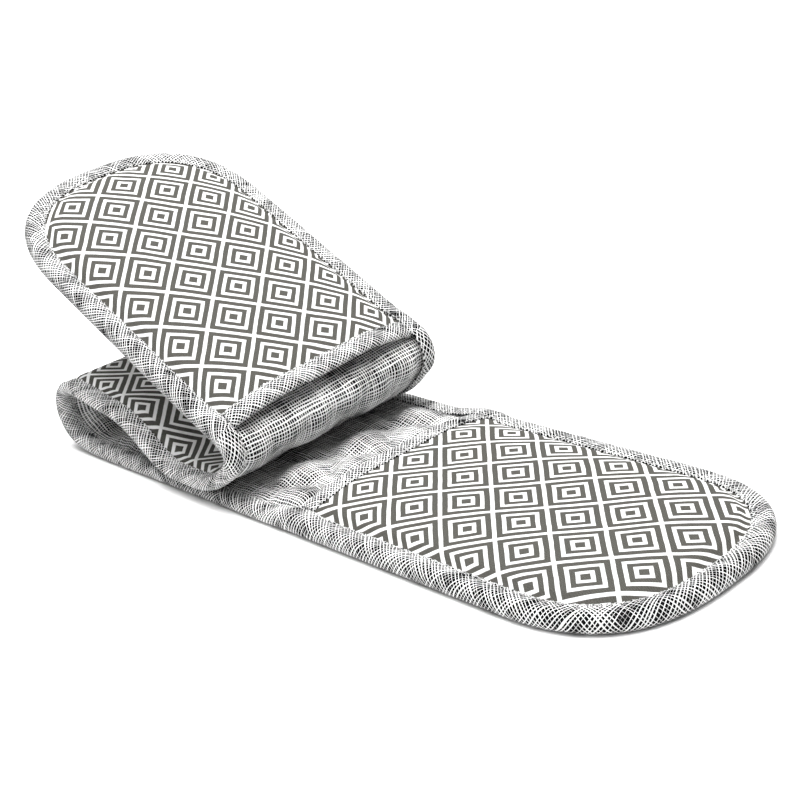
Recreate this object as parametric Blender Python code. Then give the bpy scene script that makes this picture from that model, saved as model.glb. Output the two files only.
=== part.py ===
"""Double oven glove: one long padded strip with a hand pocket at each end, folded in a Z.

The strip is laid out flat along s, its distance from the tip of the lower glove, and across
along v. Side A, with the quilted lining and both pockets, is on the positive side of the
strip's middle surface, and the outer cover is on the negative side. A FoldPath bends it:
a run on the table, a loose left fold, a run back over the first, a right fold, and the
upper glove rising to the left. Metres, +Z up.
"""

import math

import bmesh
import bpy
from mathutils import Vector

# Strip
STRIP_WIDTH = 0.175
STRIP_THICKNESS = 0.009
END_LENGTH = 0.086
CLEARANCE = 0.0003
COVER_CLOTH = 0.0008
LINING_CLOTH = 0.0012
LINING_PUFF = 0.0019
QUILT_DEPTH = 0.0021
QUILT_ALONG = 0.057
QUILT_ACROSS = 0.050
QUILT_START = 0.3244
SQUEEZE_RUN = 0.0055
NOSE_ROUNDING = 0.0009

# Binding tape round the edges and over the pocket mouths
TAPE_THICKNESS = 0.0011
TAPE_FACE = 0.016
TAPE_ROOM = 0.0015
TAPE_HEM = 0.001
NOSE_DEPTH = 0.005
EDGE_DRAW_IN = 0.0005
TAPE_DROP_RUN = 0.026

# Pockets
POCKET_LENGTH = 0.252
LOWER_TIP_CROWN = 0.0025
LOWER_MOUTH_CROWN = 0.0108
UPPER_TIP_CROWN = 0.0066
UPPER_MOUTH_CROWN = 0.0074
POCKET_CLOTH = 0.0009
POCKET_WADDING = 0.0026
POCKET_WADDING_EDGE = 0.0009
POCKET_WADDING_RUN = 0.018
CROWN_RUN = 0.055
MOUTH_SLACK = 0.0005
MOUTH_LIFT_RUN = 0.014

# Folds: lengths along the strip, radii of its middle surface, and turns in degrees
LOWER_RUN = 0.4555
RISE_RADIUS = 0.1036
LEFT_FOLD_RADIUS = 0.0207
RETURN_RUN = 0.0466
DIP_RADIUS = 0.065
LANDING_RADIUS = 0.0355
LANDED_RUN = 0.0192
ROLL_RADIUS = 0.0562
ROLL_TOP_RADIUS = 0.0107
RISE_TURN = 14
LEFT_FOLD_TURN = 174
DIP_TURN = 24
ROLL_TURN = 55
ROLL_TOP_TURN = 97
UPPER_SHIFT = 0.006
UPPER_TWIST = 2.4

# Where the folding stretches end beyond their curves, so that the flat runs stay clear
LEFT_EASE = 0.008
RIGHT_EASE = 0.008
LEFT_OPENING_TURN = 190
RIGHT_OPENING_TURN = 158

# Facets
FACET_TURN = 21
FACET_RUN = 0.015
STATION_STEP = 0.034
END_FACETS = 12
END_SQUARENESS = 2.6
MERGE = 0.000002
SHARP_TURN = 50
QUILT_COLUMN_COUNT = 6

HALF_WIDTH = STRIP_WIDTH / 2
HALF_THICKNESS = STRIP_THICKNESS / 2
EDGE_HALF = HALF_THICKNESS - EDGE_DRAW_IN - CLEARANCE - TAPE_THICKNESS
LAYER_EDGE = TAPE_ROOM + CLEARANCE
SQUEEZE_START = TAPE_FACE + CLEARANCE
LANDED_HEIGHT = STRIP_THICKNESS + CLEARANCE + HALF_THICKNESS
MOUTH_LIFT = TAPE_THICKNESS + CLEARANCE + MOUTH_SLACK
PLAIN_COLUMNS = (LAYER_EDGE, NOSE_DEPTH, SQUEEZE_START, SQUEEZE_START + SQUEEZE_RUN, HALF_WIDTH)
QUILT_COLUMNS = PLAIN_COLUMNS[:-1] + tuple(
    HALF_WIDTH - QUILT_ACROSS / 4 * k for k in reversed(range(QUILT_COLUMN_COUNT)))
CROWN_SHARES = (0.3, 0.7)
POCKET_COLUMNS = PLAIN_COLUMNS[:-1] + tuple(
    SQUEEZE_START + SQUEEZE_RUN + CROWN_RUN * share for share in CROWN_SHARES) + (HALF_WIDTH,)

PATTERN_GREY = (0.42, 0.42, 0.40, 1)
LINING_GREY = (0.40, 0.40, 0.40, 1)
TAPE_GREY = (0.52, 0.52, 0.51, 1)
WADDING_WHITE = (0.85, 0.83, 0.78, 1)


def smooth(x):
    """0 below 0, 1 above 1, and an even ease between them."""
    x = min(max(x, 0), 1)
    return x * x * (3 - 2 * x)


class FoldPath:
    """The middle surface of the strip, seen from the side: runs and arcs end to end."""

    def __init__(self):
        self.parts = []
        self.s = 0
        self.x = 0
        self.z = HALF_THICKNESS
        self.heading = math.pi

    def run(self, length):
        self.parts.append((self.s, length, self.x, self.z, self.heading, 0))
        self.s += length
        self.x += length * math.cos(self.heading)
        self.z += length * math.sin(self.heading)
        return self.s

    def arc(self, radius, turn_degrees):
        """Turns left for a positive turn and right for a negative one."""
        turn = math.radians(turn_degrees)
        length = radius * abs(turn)
        curve = turn / length
        self.parts.append((self.s, length, self.x, self.z, self.heading, curve))
        end = self.heading + turn
        self.x += (math.sin(end) - math.sin(self.heading)) / curve
        self.z -= (math.cos(end) - math.cos(self.heading)) / curve
        self.s += length
        self.heading = end
        return self.s

    def descend_to(self, height, landing_radius):
        """A straight run that ends where an arc can level out at the height, then that arc."""
        slope = -self.heading
        drop = landing_radius * (1 - math.cos(slope))
        self.run((self.z - drop - height) / math.sin(slope))
        return self.arc(landing_radius, math.degrees(slope))

    def at(self, s):
        """x, z and heading of the middle surface at s. The ends run on straight."""
        for start, length, x, z, heading, curve in self.parts:
            if s <= start + length:
                break
        along = s - start
        if not curve or along < 0:
            return x + along * math.cos(heading), z + along * math.sin(heading), heading
        end = heading + along * curve
        return (x + (math.sin(end) - math.sin(heading)) / curve,
                z - (math.cos(end) - math.cos(heading)) / curve, end)

    def facets(self, first, last):
        """Stations from first to last that follow the arcs, with the runs between them whole."""
        found = [first]
        for start, length, _, _, _, curve in self.parts:
            low = max(start, first)
            high = min(start + length, last)
            if high <= low:
                continue
            count = 1
            if curve:
                turn = math.degrees(abs(curve) * (high - low))
                count = max(math.ceil(turn / FACET_TURN), math.ceil((high - low) / FACET_RUN))
            found += [low + (high - low) * k / count for k in range(1, count + 1)]
        return found

    def is_straight(self, first, last):
        middle = (first + last) / 2
        return all(not curve for start, length, _, _, _, curve in self.parts
                   if start < middle < start + length)


path = FoldPath()
LOWER_END = path.run(LOWER_RUN)
path.arc(RISE_RADIUS, -RISE_TURN)
LEFT_FOLD_END = path.arc(LEFT_FOLD_RADIUS, -LEFT_FOLD_TURN)
path.run(RETURN_RUN)
path.arc(DIP_RADIUS, -DIP_TURN)
path.descend_to(LANDED_HEIGHT, LANDING_RADIUS)
LANDED_END = path.run(LANDED_RUN)
path.arc(ROLL_RADIUS, ROLL_TURN)
ROLL_END = path.arc(ROLL_TOP_RADIUS, ROLL_TOP_TURN)
STRIP_LENGTH = path.run(POCKET_LENGTH)

MIDDLE_START = LEFT_FOLD_END + LEFT_EASE
MIDDLE_END = LANDED_END - RIGHT_EASE
UPPER_START = ROLL_END


def drift(s):
    """How far the upper layers lie towards the viewer, since the strip isn't folded quite square."""
    return -UPPER_SHIFT * smooth((s - LOWER_END) / (UPPER_START - LOWER_END))


def lean(s):
    """How steeply the strip rises across itself, away from the viewer: the upper glove is twisted."""
    return math.tan(math.radians(UPPER_TWIST)) * smooth((s - LANDED_END) / (UPPER_START - LANDED_END))


def strip_point(s, v, n):
    """The world place of a point s along, v across and n off the middle surface."""
    x, z, heading = path.at(s)
    return Vector((x + n * math.sin(heading), v + drift(s), z - n * math.cos(heading) + v * lean(s)))


def squeeze(d):
    """0 under the binding, d from the edge of the strip, and 1 where the padding is full."""
    return smooth((d - SQUEEZE_START) / SQUEEZE_RUN)


def strip_half(d):
    """Half the thickness of the cover, wadding and lining together."""
    nose = NOSE_ROUNDING * (1 - smooth(d / NOSE_DEPTH)) if d < NOSE_DEPTH else 0
    return EDGE_HALF - nose + (HALF_THICKNESS - EDGE_HALF) * squeeze(d)


def quilting(s, v):
    """0 on the sewn lines, which cross in diamonds, and 1 on the puffs between them."""
    across = (v - QUILT_ACROSS / 4) / QUILT_ACROSS
    along = (s - QUILT_START) / QUILT_ALONG
    return abs(math.sin(math.pi * (along + across)) * math.sin(math.pi * (along - across)))


def lining_under(s, v, d):
    return strip_half(d) - LINING_CLOTH - LINING_PUFF * squeeze(d)


def lining_top(s, v, d):
    return strip_half(d) - QUILT_DEPTH * squeeze(d) * (1 - quilting(s, v))


def cover_under(s, v, d):
    return -strip_half(d)


def cover_top(s, v, d):
    return -strip_half(d) + COVER_CLOTH


def wadding_under(s, v, d):
    return cover_top(s, v, d) + CLEARANCE


def wadding_top(s, v, d):
    return lining_under(s, v, d) - CLEARANCE


class Pocket:
    """The padded panel of one glove, from the strip's tip to the mouth, over a hollow."""

    def __init__(self, tip, step, tip_crown, mouth_crown):
        self.tip = tip
        self.step = step
        self.tip_crown = tip_crown
        self.mouth_crown = mouth_crown
        self.mouth = tip + step * POCKET_LENGTH

    def from_mouth(self, s):
        return (self.mouth - s) * self.step

    def hollow(self, s, d):
        """The room for the hand under the pocket: low at its sides and tip, and high at its mouth."""
        depth = min(max(self.from_mouth(s) / POCKET_LENGTH, 0), 1)
        crown = self.mouth_crown + (self.tip_crown - self.mouth_crown) * depth
        return crown * math.sin(math.pi / 2 * min(max((d - SQUEEZE_START) / CROWN_RUN, 0), 1))

    def lining_under(self, s, v, d):
        near_mouth = 1 - smooth((self.from_mouth(s) - TAPE_FACE) / MOUTH_LIFT_RUN)
        lift = MOUTH_LIFT * near_mouth * (1 - squeeze(d) / 2)
        return strip_half(d) + CLEARANCE + self.hollow(s, d) + lift

    def lining_top(self, s, v, d):
        return self.lining_under(s, v, d) + POCKET_CLOTH

    def wadding_under(self, s, v, d):
        return self.lining_top(s, v, d) + CLEARANCE

    def wadding_top(self, s, v, d):
        full = smooth((min(d, self.from_mouth(s)) - SQUEEZE_START) / POCKET_WADDING_RUN)
        thickness = POCKET_WADDING_EDGE + (POCKET_WADDING - POCKET_WADDING_EDGE) * full
        return self.wadding_under(s, v, d) + thickness

    def cover_under(self, s, v, d):
        return self.wadding_top(s, v, d) + CLEARANCE

    def cover_top(self, s, v, d):
        return self.cover_under(s, v, d) + POCKET_CLOTH


lower_pocket = Pocket(0, 1, LOWER_TIP_CROWN, LOWER_MOUTH_CROWN)
upper_pocket = Pocket(STRIP_LENGTH, -1, UPPER_TIP_CROWN, UPPER_MOUTH_CROWN)


def stack_top(pocket):
    """The level that the edge binding folds over: the pocket, easing down past its mouth to the strip."""

    def level(s, v, d):
        plain = strip_half(d)
        if pocket is None:
            return plain
        past = -pocket.from_mouth(s)
        on_pocket = pocket.cover_top(pocket.mouth if past > 0 else s, v, d)
        return plain + (on_pocket - plain) * (1 - min(max(past / TAPE_DROP_RUN, 0), 1))

    return level


def mesh_object(name, points, faces, material, parent=None):
    """A closed body from points and faces, with its doubles merged and its faces outward."""
    mesh = bpy.data.meshes.new(name)
    work = bmesh.new()
    corners = [work.verts.new(point) for point in points]
    for face in faces:
        work.faces.new([corners[k] for k in face])
    bmesh.ops.remove_doubles(work, verts=work.verts, dist=MERGE)
    bmesh.ops.triangulate(work, faces=[face for face in work.faces if len(face.verts) > 4])
    bmesh.ops.recalc_face_normals(work, faces=work.faces)
    work.to_mesh(mesh)
    work.free()
    mesh.shade_smooth()
    mesh.set_sharp_from_angle(angle=math.radians(SHARP_TURN))
    mesh.materials.append(material)
    obj = bpy.data.objects.new(name, mesh)
    glove.objects.link(obj)
    obj.parent = parent
    return obj


def quad_or_split(top, a, b, c, d):
    """A quad as two triangles along the lower diagonal, so that a sewn line stays a valley."""
    if top[a] + top[c] <= top[b] + top[d]:
        return [(a, b, c), (a, c, d)]
    return [(a, b, d), (b, c, d)]


def slab(name, rows, under, top, material, closed_middle=False, parent=None):
    """A layer between two levels over rows of (s, v, d), walled at its outer sides.

    The last column of each row is the strip's centre line where closed_middle is set, and
    has no wall, because the near and far rows meet there.
    """
    width = len(rows[0])
    flat = [place for row in rows for place in row]
    levels = [[level(*place) for place in flat] for level in (under, top)]
    points = [strip_point(s, v, n) for level in levels for (s, v, _), n in zip(flat, level)]
    lift = len(flat)
    faces = []
    for j in range(len(rows) - 1):
        for k in range(width - 1):
            a = j * width + k
            corners = (a, a + 1, a + 1 + width, a + width)
            faces += [tuple(lift + p for p in face) for face in quad_or_split(levels[1], *corners)]
            faces += [face[::-1] for face in quad_or_split(levels[0], *corners)]
    rim = [(j * width, (j + 1) * width) for j in range(len(rows) - 1)]
    if not closed_middle:
        rim += [((j + 1) * width - 1, (j + 2) * width - 1) for j in range(len(rows) - 1)]
    last = (len(rows) - 1) * width
    rim += [(k, k + 1) for k in range(width - 1)]
    rim += [(last + k, last + k + 1) for k in range(width - 1)]
    faces += [(a, b, lift + b, lift + a) for a, b in rim]
    return mesh_object(name, points, faces, material, parent)


def ring_sweep(name, rings, material, parent=None):
    """A solid swept through closed rings of world points, with flat ends."""
    count = len(rings[0])
    points = [point for ring in rings for point in ring]
    faces = [(j * count + k, j * count + (k + 1) % count,
              (j + 1) * count + (k + 1) % count, (j + 1) * count + k)
             for j in range(len(rings) - 1) for k in range(count)]
    last = (len(rings) - 1) * count
    faces += [tuple(range(count)), tuple(range(last, last + count))]
    return mesh_object(name, points, faces, material, parent)


def end_place(tip, step, d, angle):
    """A place in the rounded end of the strip, d in from its edge: angle 0 is the tip."""
    share = 1 - d / HALF_WIDTH
    power = 2 / END_SQUARENESS
    out = abs(math.cos(angle)) ** power
    side = math.copysign(abs(math.sin(angle)) ** power, angle)
    return tip + step * END_LENGTH * (1 - share * out), HALF_WIDTH * share * side, d


def round_rows(tip, step, stations, columns):
    """Rows of places along one side, round the tip and back, each from the edge to the middle.

    The stations are the s values of the straight side, from the tip's end outward.
    """
    inner = stations[::-1]
    far = [[(s, HALF_WIDTH - d, d) for d in columns] for s in inner]
    near = [[(s, d - HALF_WIDTH, d) for d in columns] for s in stations]
    angles = [math.pi / 2 * (1 - 2 * k / END_FACETS) for k in range(1, END_FACETS)]
    end = [[end_place(tip, step, d, angle) for d in columns] for angle in angles]
    return far + end + near


def cross_rows(stations, columns):
    """Rows of places right across the strip, from the far edge to the near one."""
    across = [(HALF_WIDTH - d, d) for d in columns] + [(d - HALF_WIDTH, d) for d in columns[-2::-1]]
    return [[(s, v, d) for v, d in across] for s in stations]


def quilt_stations(first, last):
    """Facet stations, with the runs between them divided at the quarters of the quilting."""
    step = QUILT_ALONG / 4
    found = []
    facets = path.facets(first, last)
    for low, high in zip(facets, facets[1:]):
        found.append(low)
        if path.is_straight(low, high):
            k = math.floor((low - QUILT_START) / step) + 1
            while QUILT_START + (k + 1 / 4) * step < high:
                if QUILT_START + (k - 1 / 4) * step > low:
                    found.append(QUILT_START + k * step)
                k += 1
    return found + [facets[-1]]


def even_stations(first, last):
    """Stations from first to last, no further apart than the station step."""
    count = math.ceil(abs(last - first) / STATION_STEP)
    return [first + (last - first) * k / count for k in range(count + 1)]


def panel_stations(pocket):
    """Stations of a pocket's straight sides, from its rounded end to the tape of its mouth."""
    shoulder = pocket.tip + pocket.step * END_LENGTH
    tape = [pocket.mouth - pocket.step * d for d in (SQUEEZE_START, NOSE_DEPTH, LAYER_EDGE)]
    lifted = pocket.mouth - pocket.step * (TAPE_FACE + MOUTH_LIFT_RUN)
    full = pocket.mouth - pocket.step * (SQUEEZE_START + SQUEEZE_RUN)
    return even_stations(shoulder, lifted) + [full] + tape


def tape_ring(bottom, top, place_of):
    """A folded tape: its outer face from the top hem round the edge, and its inner face back.

    bottom and top give the levels that it wraps at a depth d, and place_of a world point.
    """
    high = {d: top(d) + CLEARANCE for d in (LAYER_EDGE, NOSE_DEPTH, SQUEEZE_START)}
    low = {d: bottom(d) - CLEARANCE for d in (LAYER_EDGE, NOSE_DEPTH, SQUEEZE_START)}
    middle = (high[LAYER_EDGE] + low[LAYER_EDGE]) / 2
    reach = (high[LAYER_EDGE] - low[LAYER_EDGE]) / 2
    thick = TAPE_THICKNESS
    outer = [
        (TAPE_FACE, high[SQUEEZE_START] + thick / 2),
        (TAPE_FACE - TAPE_HEM, high[SQUEEZE_START] + thick),
        (NOSE_DEPTH, high[NOSE_DEPTH] + thick),
        (LAYER_EDGE, high[LAYER_EDGE] + thick * 3 / 4),
        (TAPE_ROOM / 4, middle + reach * 2 / 3),
    ]
    outer += [(0, middle)]
    outer += [
        (TAPE_ROOM / 4, middle - reach * 2 / 3),
        (LAYER_EDGE, low[LAYER_EDGE] - thick * 3 / 4),
        (NOSE_DEPTH, low[NOSE_DEPTH] - thick),
        (TAPE_FACE - TAPE_HEM, low[SQUEEZE_START] - thick),
        (TAPE_FACE, low[SQUEEZE_START] - thick / 2),
    ]
    inner = [
        (TAPE_FACE, low[SQUEEZE_START]), (NOSE_DEPTH, low[NOSE_DEPTH]), (TAPE_ROOM, low[LAYER_EDGE]),
        (TAPE_ROOM, high[LAYER_EDGE]), (NOSE_DEPTH, high[NOSE_DEPTH]), (TAPE_FACE, high[SQUEEZE_START]),
    ]
    return [place_of(d, n) for d, n in outer + inner]


def side_ring(s, side, level):
    """The edge binding's ring at a station of a straight side, +1 the far one."""
    return tape_ring(lambda d: -strip_half(d), lambda d: level(s, 0, d),
                     lambda d, n: strip_point(s, side * (HALF_WIDTH - d), n))


def end_ring(tip, step, angle, level):
    """The edge binding's ring at an angle of the rounded end."""

    def top(d):
        s, v, _ = end_place(tip, step, d, angle)
        return level(s, v, d)

    def place_of(d, n):
        s, v, _ = end_place(tip, step, d, angle)
        return strip_point(s, v, n)

    return tape_ring(lambda d: -strip_half(d), top, place_of)


def end_binding(name, pocket, cut, material, parent=None):
    """The binding from the cut along the far side, round the tip and back along the near side."""
    level = stack_top(pocket)
    stations = binding_stations(pocket, cut)
    angles = [math.pi / 2 * (1 - 2 * k / END_FACETS) for k in range(1, END_FACETS)]
    rings = [side_ring(s, 1, level) for s in stations[::-1]]
    rings += [end_ring(pocket.tip, pocket.step, angle, level) for angle in angles]
    rings += [side_ring(s, -1, level) for s in stations]
    return ring_sweep(name, rings, material, parent)


def binding_stations(pocket, cut):
    """The pocket's stations, then past its mouth the run to the cut, where there is one."""
    stations = panel_stations(pocket)[:-1] + [pocket.mouth]
    past = pocket.mouth + pocket.step * TAPE_DROP_RUN
    return stations + [past, cut] if (cut - past) * pocket.step > 0 else stations


def mouth_binding(name, pocket, material, parent=None):
    """The tape over a pocket's mouth, between the inner edges of the edge binding."""
    start = TAPE_FACE + CLEARANCE
    columns = [start] + list(POCKET_COLUMNS[3:])
    across = [(HALF_WIDTH - d, d) for d in columns] + [(d - HALF_WIDTH, d) for d in columns[-2::-1]]
    rings = []
    for v, d in across:

        def bottom(m, v=v, d=d):
            return pocket.lining_under(pocket.mouth - pocket.step * m, v, d)

        def top(m, v=v, d=d):
            return pocket.cover_top(pocket.mouth - pocket.step * m, v, d)

        def place_of(m, n, v=v):
            return strip_point(pocket.mouth - pocket.step * m, v, n)

        rings.append(tape_ring(bottom, top, place_of))
    return ring_sweep(name, rings, material, parent)


def panel(name, pocket, layers, materials, parent=None):
    """The lining, wadding and cover of one pocket."""
    stations = panel_stations(pocket)
    rows = round_rows(pocket.tip, pocket.step, stations, POCKET_COLUMNS)
    for layer, (under, top) in layers.items():
        slab(f"{name}_{layer}", rows, under, top, materials[layer], True, parent)


def fold_axis(start, end, turn_degrees):
    """The line about which this turn brings the strip's place at end onto its place at start."""
    x0, z0, _ = path.at(start)
    x1, z1, _ = path.at(end)
    lean = 1 / math.tan(math.radians(turn_degrees) / 2) / 2
    x = (x0 + x1) / 2 - (z1 - z0) * lean
    z = (z0 + z1) / 2 + (x1 - x0) * lean
    return Vector((x, 0, z))


def cloth(name, colour, roughness):
    """A matt cloth finish."""
    material = bpy.data.materials.new(name)
    material.use_nodes = True
    shader = material.node_tree.nodes["Principled BSDF"]
    shader.inputs["Base Color"].default_value = colour
    shader.inputs["Roughness"].default_value = roughness
    shader.inputs["Metallic"].default_value = 0
    material.diffuse_color = colour
    return material


def clear_scene():
    for obj in list(bpy.data.objects):
        bpy.data.objects.remove(obj, do_unlink=True)


def axis_empty(name, place, parent=None):
    """An empty on the axis of a fold, which carries what turns about it."""
    empty = bpy.data.objects.new(name, None)
    empty.empty_display_size = STRIP_WIDTH / 4
    empty.location = place - parent.location if parent else place
    empty.parent = parent
    glove.objects.link(empty)
    return empty


STRIP_LAYERS = {
    "outer_cover": (cover_under, cover_top),
    "heat_wadding": (wadding_under, wadding_top),
    "quilted_lining": (lining_under, lining_top),
}


def build_end(place, pocket, cut, finishes, parent=None):
    """One end of the strip: its three layers and binding, and the pocket sewn on it."""
    shoulder = pocket.tip + pocket.step * END_LENGTH
    ends = sorted((shoulder, cut))
    quilted = quilt_stations(*ends)
    if pocket.step < 0:
        quilted = quilted[::-1]
    plain = [shoulder, cut]
    for layer, (under, top) in STRIP_LAYERS.items():
        stations, columns = (quilted, QUILT_COLUMNS) if layer == "quilted_lining" else (plain, PLAIN_COLUMNS)
        rows = round_rows(pocket.tip, pocket.step, stations, columns)
        slab(f"{layer}_{place}", rows, under, top, finishes[layer], True, parent)
    end_binding(f"edge_binding_{place}", pocket, cut, finishes["binding"], parent)
    panel(f"pocket_{place}", pocket, {
        "lining": (pocket.lining_under, pocket.lining_top),
        "wadding": (pocket.wadding_under, pocket.wadding_top),
        "panel": (pocket.cover_under, pocket.cover_top),
    }, {"lining": finishes["pocket_lining"], "wadding": finishes["pocket_wadding"],
        "panel": finishes["pocket_panel"]}, parent)
    mouth_binding(f"mouth_binding_{place}", pocket, finishes["mouth_binding"], parent)


def build_stretch(place, first, last, finishes, parent=None):
    """A stretch of the strip between two cuts: three layers and a binding on each side."""
    for layer, (under, top) in STRIP_LAYERS.items():
        quilted = layer == "quilted_lining"
        stations = quilt_stations(first, last) if quilted else path.facets(first, last)
        rows = cross_rows(stations, QUILT_COLUMNS if quilted else PLAIN_COLUMNS)
        slab(f"{layer}_{place}", rows, under, top, finishes[layer], False, parent)
    level = stack_top(upper_pocket if place == "right_fold" else None)
    for side, word in ((1, "far"), (-1, "near")):
        rings = [side_ring(s, side, level) for s in path.facets(first, last)]
        ring_sweep(f"edge_binding_{place}_{word}", rings, finishes["binding"], parent)


def set_down():
    """Moves the whole part so that its origin is at the bottom centre of its box."""
    bodies = [obj for obj in glove.objects if obj.type == "MESH"]
    corners = [vertex.co for obj in bodies for vertex in obj.data.vertices]
    low = Vector([min(corner[k] for corner in corners) for k in range(3)])
    high = Vector([max(corner[k] for corner in corners) for k in range(3)])
    shift = Vector((-(low.x + high.x) / 2, -(low.y + high.y) / 2, -low.z))
    for obj in bodies:
        for vertex in obj.data.vertices:
            vertex.co += shift
    return shift


def hang_on(empty):
    """Gives each piece that an axis carries its own origin on that axis."""
    place = empty.matrix_world.translation
    for obj in empty.children:
        if obj.type == "MESH":
            for vertex in obj.data.vertices:
                vertex.co -= place


clear_scene()
glove = bpy.data.collections.new("double_oven_glove")
bpy.context.scene.collection.children.link(glove)

finishes = {
    "outer_cover": cloth("diamond_cotton_cover", PATTERN_GREY, 0.85),
    "heat_wadding": cloth("heat_wadding_felt", WADDING_WHITE, 0.95),
    "quilted_lining": cloth("crosshatch_cotton_lining", LINING_GREY, 0.9),
    "binding": cloth("crosshatch_bias_binding", TAPE_GREY, 0.88),
    "pocket_lining": cloth("pocket_cotton_lining", LINING_GREY, 0.9),
    "pocket_wadding": cloth("pocket_wadding_felt", WADDING_WHITE, 0.95),
    "pocket_panel": cloth("diamond_cotton_panel", PATTERN_GREY, 0.85),
    "mouth_binding": cloth("crosshatch_mouth_binding", TAPE_GREY, 0.88),
}

left_axis = axis_empty("left_fold_axis", Vector((0, 0, 0)))
right_axis = axis_empty("right_fold_axis", Vector((0, 0, 0)), left_axis)

build_end("lower", lower_pocket, LOWER_END - CLEARANCE, finishes)
build_stretch("left_fold", LOWER_END, MIDDLE_START - CLEARANCE, finishes)
build_stretch("middle", MIDDLE_START, MIDDLE_END - CLEARANCE, finishes, left_axis)
build_stretch("right_fold", MIDDLE_END, UPPER_START - CLEARANCE, finishes, left_axis)
build_end("upper", upper_pocket, UPPER_START, finishes, right_axis)

shift = set_down()
left_axis.location = fold_axis(LOWER_END, LEFT_FOLD_END, LEFT_OPENING_TURN) + shift
right_place = fold_axis(LANDED_END, UPPER_START, -RIGHT_OPENING_TURN) + shift
right_axis.location = right_place - left_axis.location
for axis in (left_axis, right_axis):
    axis.location.y = 0
bpy.context.view_layer.update()
for axis in (left_axis, right_axis):
    hang_on(axis)
bpy.context.view_layer.update()

print("strip length", round(STRIP_LENGTH, 5), "shift", [round(value, 5) for value in shift])
print("left fold axis", [round(value, 5) for value in left_axis.matrix_world.translation])
print("right fold axis", [round(value, 5) for value in right_axis.matrix_world.translation])
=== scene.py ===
"""Dressed double oven glove: its cloth, padding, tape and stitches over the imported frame.

The glove is one long padded strip. A place on it is s along from the lower glove's tip, v across
and n off its middle surface, and FoldPath bends the strip into its folds, as in the frame.
Side A, with the crosshatched lining and both pockets, is on the positive side of n.
"""

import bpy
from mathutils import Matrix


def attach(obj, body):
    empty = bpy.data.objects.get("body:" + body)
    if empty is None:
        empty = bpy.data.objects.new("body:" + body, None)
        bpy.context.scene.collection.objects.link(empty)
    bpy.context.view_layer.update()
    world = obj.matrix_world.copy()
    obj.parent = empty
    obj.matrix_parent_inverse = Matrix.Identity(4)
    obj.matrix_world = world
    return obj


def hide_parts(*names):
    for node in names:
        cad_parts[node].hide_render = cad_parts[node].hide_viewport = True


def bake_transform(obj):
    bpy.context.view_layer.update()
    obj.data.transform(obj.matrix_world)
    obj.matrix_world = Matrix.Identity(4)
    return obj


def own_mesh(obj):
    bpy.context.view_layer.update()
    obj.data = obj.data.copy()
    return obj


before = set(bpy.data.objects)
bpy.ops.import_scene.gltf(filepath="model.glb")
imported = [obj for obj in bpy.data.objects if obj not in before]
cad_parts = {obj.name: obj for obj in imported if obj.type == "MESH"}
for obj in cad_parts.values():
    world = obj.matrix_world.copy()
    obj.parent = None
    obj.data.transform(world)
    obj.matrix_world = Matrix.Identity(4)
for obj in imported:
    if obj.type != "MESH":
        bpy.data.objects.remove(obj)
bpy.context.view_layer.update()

import math

import bmesh
import bpy
import numpy as np
from bpy.props import FloatProperty, FloatVectorProperty, IntProperty, PointerProperty
from mathutils import Matrix, Vector

bl_info = {
    "name": "Double Oven Glove",
    "version": (1, 0, 0),
    "blender": (4, 5, 0),
    "location": "View3D > Sidebar > Oven Glove",
    "description": "Dresses the frame of a folded double oven glove in cloth, tape and stitches",
    "category": "Object",
}

# The strip and its folds, as in the frame
STRIP_WIDTH = 0.175
STRIP_THICKNESS = 0.009
END_LENGTH = 0.086
CLEARANCE = 0.0003
COVER_CLOTH = 0.0008
LINING_CLOTH = 0.0012
LINING_PUFF = 0.0019
QUILT_DEPTH = 0.0021
QUILT_ALONG = 0.057
QUILT_ACROSS = 0.050
QUILT_START = 0.3244
SQUEEZE_RUN = 0.0055
NOSE_ROUNDING = 0.0009
TAPE_THICKNESS = 0.0011
TAPE_ROOM = 0.0015
NOSE_DEPTH = 0.005
TAPE_DROP_RUN = 0.026
PUCKER_RUN = 0.016
EDGE_DRAW_IN = 0.0005
SEAM_DEPTH = 0.0014
SEAM_GROOVE = 0.00015
POCKET_LENGTH = 0.252
LOWER_TIP_CROWN = 0.0025
UPPER_TIP_CROWN = 0.0066
UPPER_MOUTH_CROWN = 0.0074
POCKET_CLOTH = 0.0009
POCKET_WADDING = 0.0026
POCKET_WADDING_EDGE = 0.0009
MOUTH_SLACK = 0.0005
MOUTH_LIFT_RUN = 0.014
LOWER_RUN = 0.4555
RISE_RADIUS = 0.1036
LEFT_FOLD_RADIUS = 0.0207
RETURN_RUN = 0.0466
DIP_RADIUS = 0.065
LANDING_RADIUS = 0.0355
LANDED_RUN = 0.0192
ROLL_RADIUS = 0.0562
ROLL_TOP_RADIUS = 0.0107
RISE_TURN = 14
LEFT_FOLD_TURN = 174
DIP_TURN = 24
ROLL_TURN = 55
ROLL_TOP_TURN = 97
UPPER_SHIFT = 0.006
UPPER_TWIST = 2.4
LEFT_EASE = 0.008
RIGHT_EASE = 0.008
END_SQUARENESS = 2.6
FRAME_SHIFT = (0.26112, 0.003, 0.0)

# Where the dressed cloth differs from the frame, after the photo: the crown of the lower mouth,
# the width of a tape's face, and the runs over which a pocket's wadding and crown swell from it
LOWER_MOUTH_CROWN = 0.006
TAPE_FACE = 0.0125
POCKET_WADDING_RUN = 0.011
CROWN_RUN = 0.046

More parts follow.
